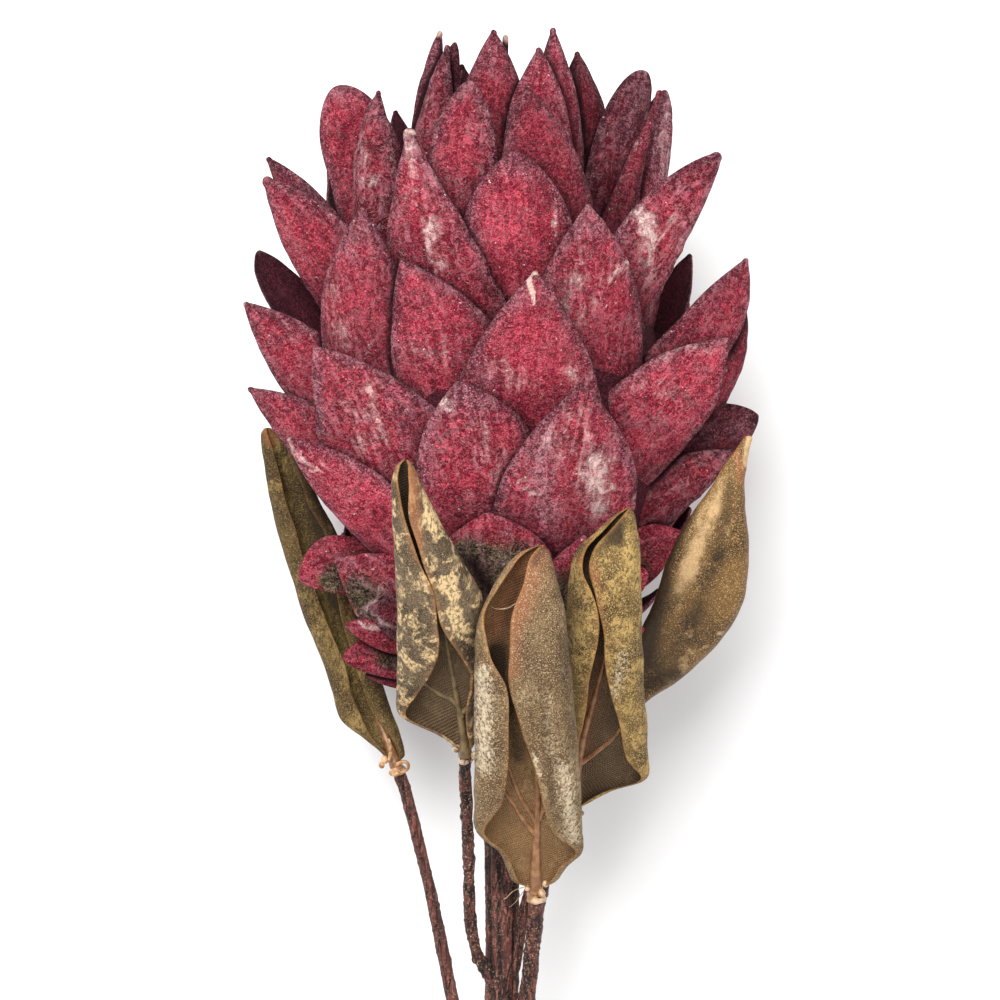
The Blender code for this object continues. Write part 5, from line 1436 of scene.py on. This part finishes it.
def blob(centre, direction, radius, length, seed, lumps=0.18, amber=0.3, sides=40, rows=24):
    """Lumpy barrel round a point: its radius follows a half circle along the direction."""
    t = np.sin(np.linspace(-1, 1, rows) * math.pi / 2)
    path = np.asarray(centre) + t[:, None] * length / 2 * np.asarray(direction)
    rings, way = rings_round(path, radius * np.sqrt(np.clip(1 - t ** 2, 0.004, 1)), sides)
    rings += way * (lumps * radius * swell(rings, 2.6, seed) * np.sqrt(1 - t[:, None] ** 2))[..., None]
    return tube_skin(lay_down(rings), dict(amber=amber))


def string(points, radius, seed, amber=0.2):
    """Thin drawn-out thread of glue on a smooth curve, a little thicker here and there."""
    path = smooth_through(points, 14 * len(points))
    rings, _ = rings_round(path, radius * (1 + 0.25 * swell(path, 3.0, seed)), 8)
    return tube_skin(lay_down(rings), dict(amber=amber))


SQUEEZED = {"leaf_far_left": (2.2, 3.0), "leaf_left": (1.95, 2.2), "leaf_middle": (2.5, 3.2)}
AMBER = {"leaf_far_left": 1.0, "leaf_left": 0.1, "leaf_middle": 0.5, "leaf_right": 0.6,
         "leaf_far_right": 0.8}
DROPS = {
    "leaf_far_left": [((-29.8, -66, -1), 1), ((-30.6, -67.4, -1.6), 0.8), ((-26.2, -67.4, -0.8), 0.9)],
    "leaf_left": [((-11.4, -61.8, 31.5), 1.1), ((-6.8, -63.6, 31.2), 1.1), ((-9.6, -65.2, 30.9), 0.8)],
    "leaf_middle": [((10.9, -96.4, 16.5), 0.9), ((9.9, -98.8, 16.6), 1), ((6.4, -97.6, 15.6), 0.8)],
    "leaf_right": [((20, -79, 12), 0.7)],
    "leaf_far_right": [((24.6, -64.2, 4.6), 0.7)],
}
STRINGS = {
    "leaf_far_left": [([(-27, -67.6, 0.2), (-25.2, -66.4, 0.8), (-23.9, -66.9, 0.8),
                        (-23.9, -68.2, 0.6), (-25.2, -69, 0.4), (-26.6, -68.6, 0.2)], 0.42),
                      ([(-28.6, -66, 0), (-28.2, -63.4, 0.9), (-28.8, -60.6, 1.4)], 0.45)],
    "leaf_left": [([(-7.4, -63, 31.6), (-5.6, -63.6, 31.8), (-4.6, -63, 31.6)], 0.4)],
    "leaf_middle": [([(5.4, -97.4, 15), (2.8, -98.6, 12.5), (1.2, -100.4, 9), (0.4, -101, 6)], 0.12),
                    ([(5.6, -98.2, 14.6), (3.6, -101.2, 10.5), (2.4, -102.6, 7),
                      (1.8, -103, 5.2)], 0.10),
                    ([(-3.4, -25.6, 58.4), (-1.4, -26.6, 59.2), (1.4, -26.4, 59.8),
                      (3.8, -25, 60.2)], 0.12)],
}
for number, name in enumerate(LEAVES):
    start, direction = joint(name)
    radius, length = SQUEEZED.get(name, (2.5, 3.4))
    skins = [blob(start - 1.2 * direction, direction, radius, length, 800 + number, 0.26, AMBER[name])]
    for middle, size in DROPS[name]:
        skins.append(blob(middle, direction, size, 2.2 * size, 820 + number, lumps=0.1,
                          amber=AMBER[name], sides=20, rows=12))
    for points, radius in STRINGS.get(name, []):
        skins.append(string(points, radius, 840 + number, AMBER[name]))
    bead = name.replace("leaf", "glue")
    piece(bead + "_blob", skins, [glue_look], "glue", bead)

# %% [markdown]
# ## Studio
#
# The view is straight down on the lying flower, square to its own axis, from far enough away to
# flatten it as a long lens does. The light is a broad panel above the upper left and a white
# surround, over a plain pale floor.

# %% Camera, light and floor
VIEW_DISTANCE = 1600.0
SENSOR_WIDTH, PICTURE_WIDTH, PICTURE_DISTANCE = 36.0, 250.0, 1575.0
FLOOR_HALF, FLOOR_TONE, SURROUND = 4.0, 0.88, 0.58
HEAD_MIDDLE = (0.0, 0.05, 0.05)
camera = bpy.data.cameras.new("view")
camera.sensor_width = SENSOR_WIDTH
camera.lens = SENSOR_WIDTH * PICTURE_DISTANCE / PICTURE_WIDTH
camera.clip_end = 10.0
view = bpy.data.objects.new("view", camera)
bpy.context.scene.collection.objects.link(view)
view.location = lay_down((-0.5, 0.0, VIEW_DISTANCE))
view.rotation_euler = (TILT, 0.0, 0.0)
bpy.context.scene.camera = view

floor_mesh = bpy.data.meshes.new("floor")
corners = [(x * FLOOR_HALF, y * FLOOR_HALF, 0) for x, y in ((-1, -1), (1, -1), (1, 1), (-1, 1))]
floor_mesh.from_pydata(corners, [], [(0, 1, 2, 3)])
floor = bpy.data.objects.new("floor", floor_mesh)
bpy.context.scene.collection.objects.link(floor)
paper, tree, shader = new_material("floor_paper", Roughness=0.9, Specular_IOR_Level=0.1)
shader.inputs["Base Color"].default_value = (FLOOR_TONE, FLOOR_TONE, FLOOR_TONE, 1.0)
floor_mesh.materials.append(paper)
floor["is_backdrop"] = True


def panel(name, place, size, power):
    """Square light that faces the head of the flower."""
    lamp = bpy.data.lights.new(name, "AREA")
    lamp.size, lamp.energy = size, power
    obj = bpy.data.objects.new(name, lamp)
    bpy.context.scene.collection.objects.link(obj)
    obj.location = place
    back = np.array(place) - np.array(HEAD_MIDDLE)
    back /= np.linalg.norm(back)
    obj.rotation_euler = (math.acos(back[2]), 0.0, math.atan2(back[1], back[0]) + math.pi / 2)


panel("key_panel", place=(-0.36, 0.38, 1.38), size=1.0, power=31.5)
panel("fill_panel", place=(0.7, -0.5, 1.3), size=1.2, power=8.0)
world = bpy.data.worlds.new("studio")
world.use_nodes = True
world.node_tree.nodes["Background"].inputs[0].default_value = (1.0, 1.0, 1.0, 1.0)
world.node_tree.nodes["Background"].inputs[1].default_value = SURROUND
bpy.context.scene.world = world
bpy.context.scene.view_settings.view_transform = "Standard"

# %% [markdown]
# ## Size
#
# The boxes of the solid model and of the finished pieces are both printed. The finished
# pieces must keep the size of the solid model.

visual_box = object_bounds()
sizes = {key: [[round(float(c), 6) for c in corner] for corner in box]
         for key, box in (("cad", cad_box), ("visual", visual_box))}
print(sizes)
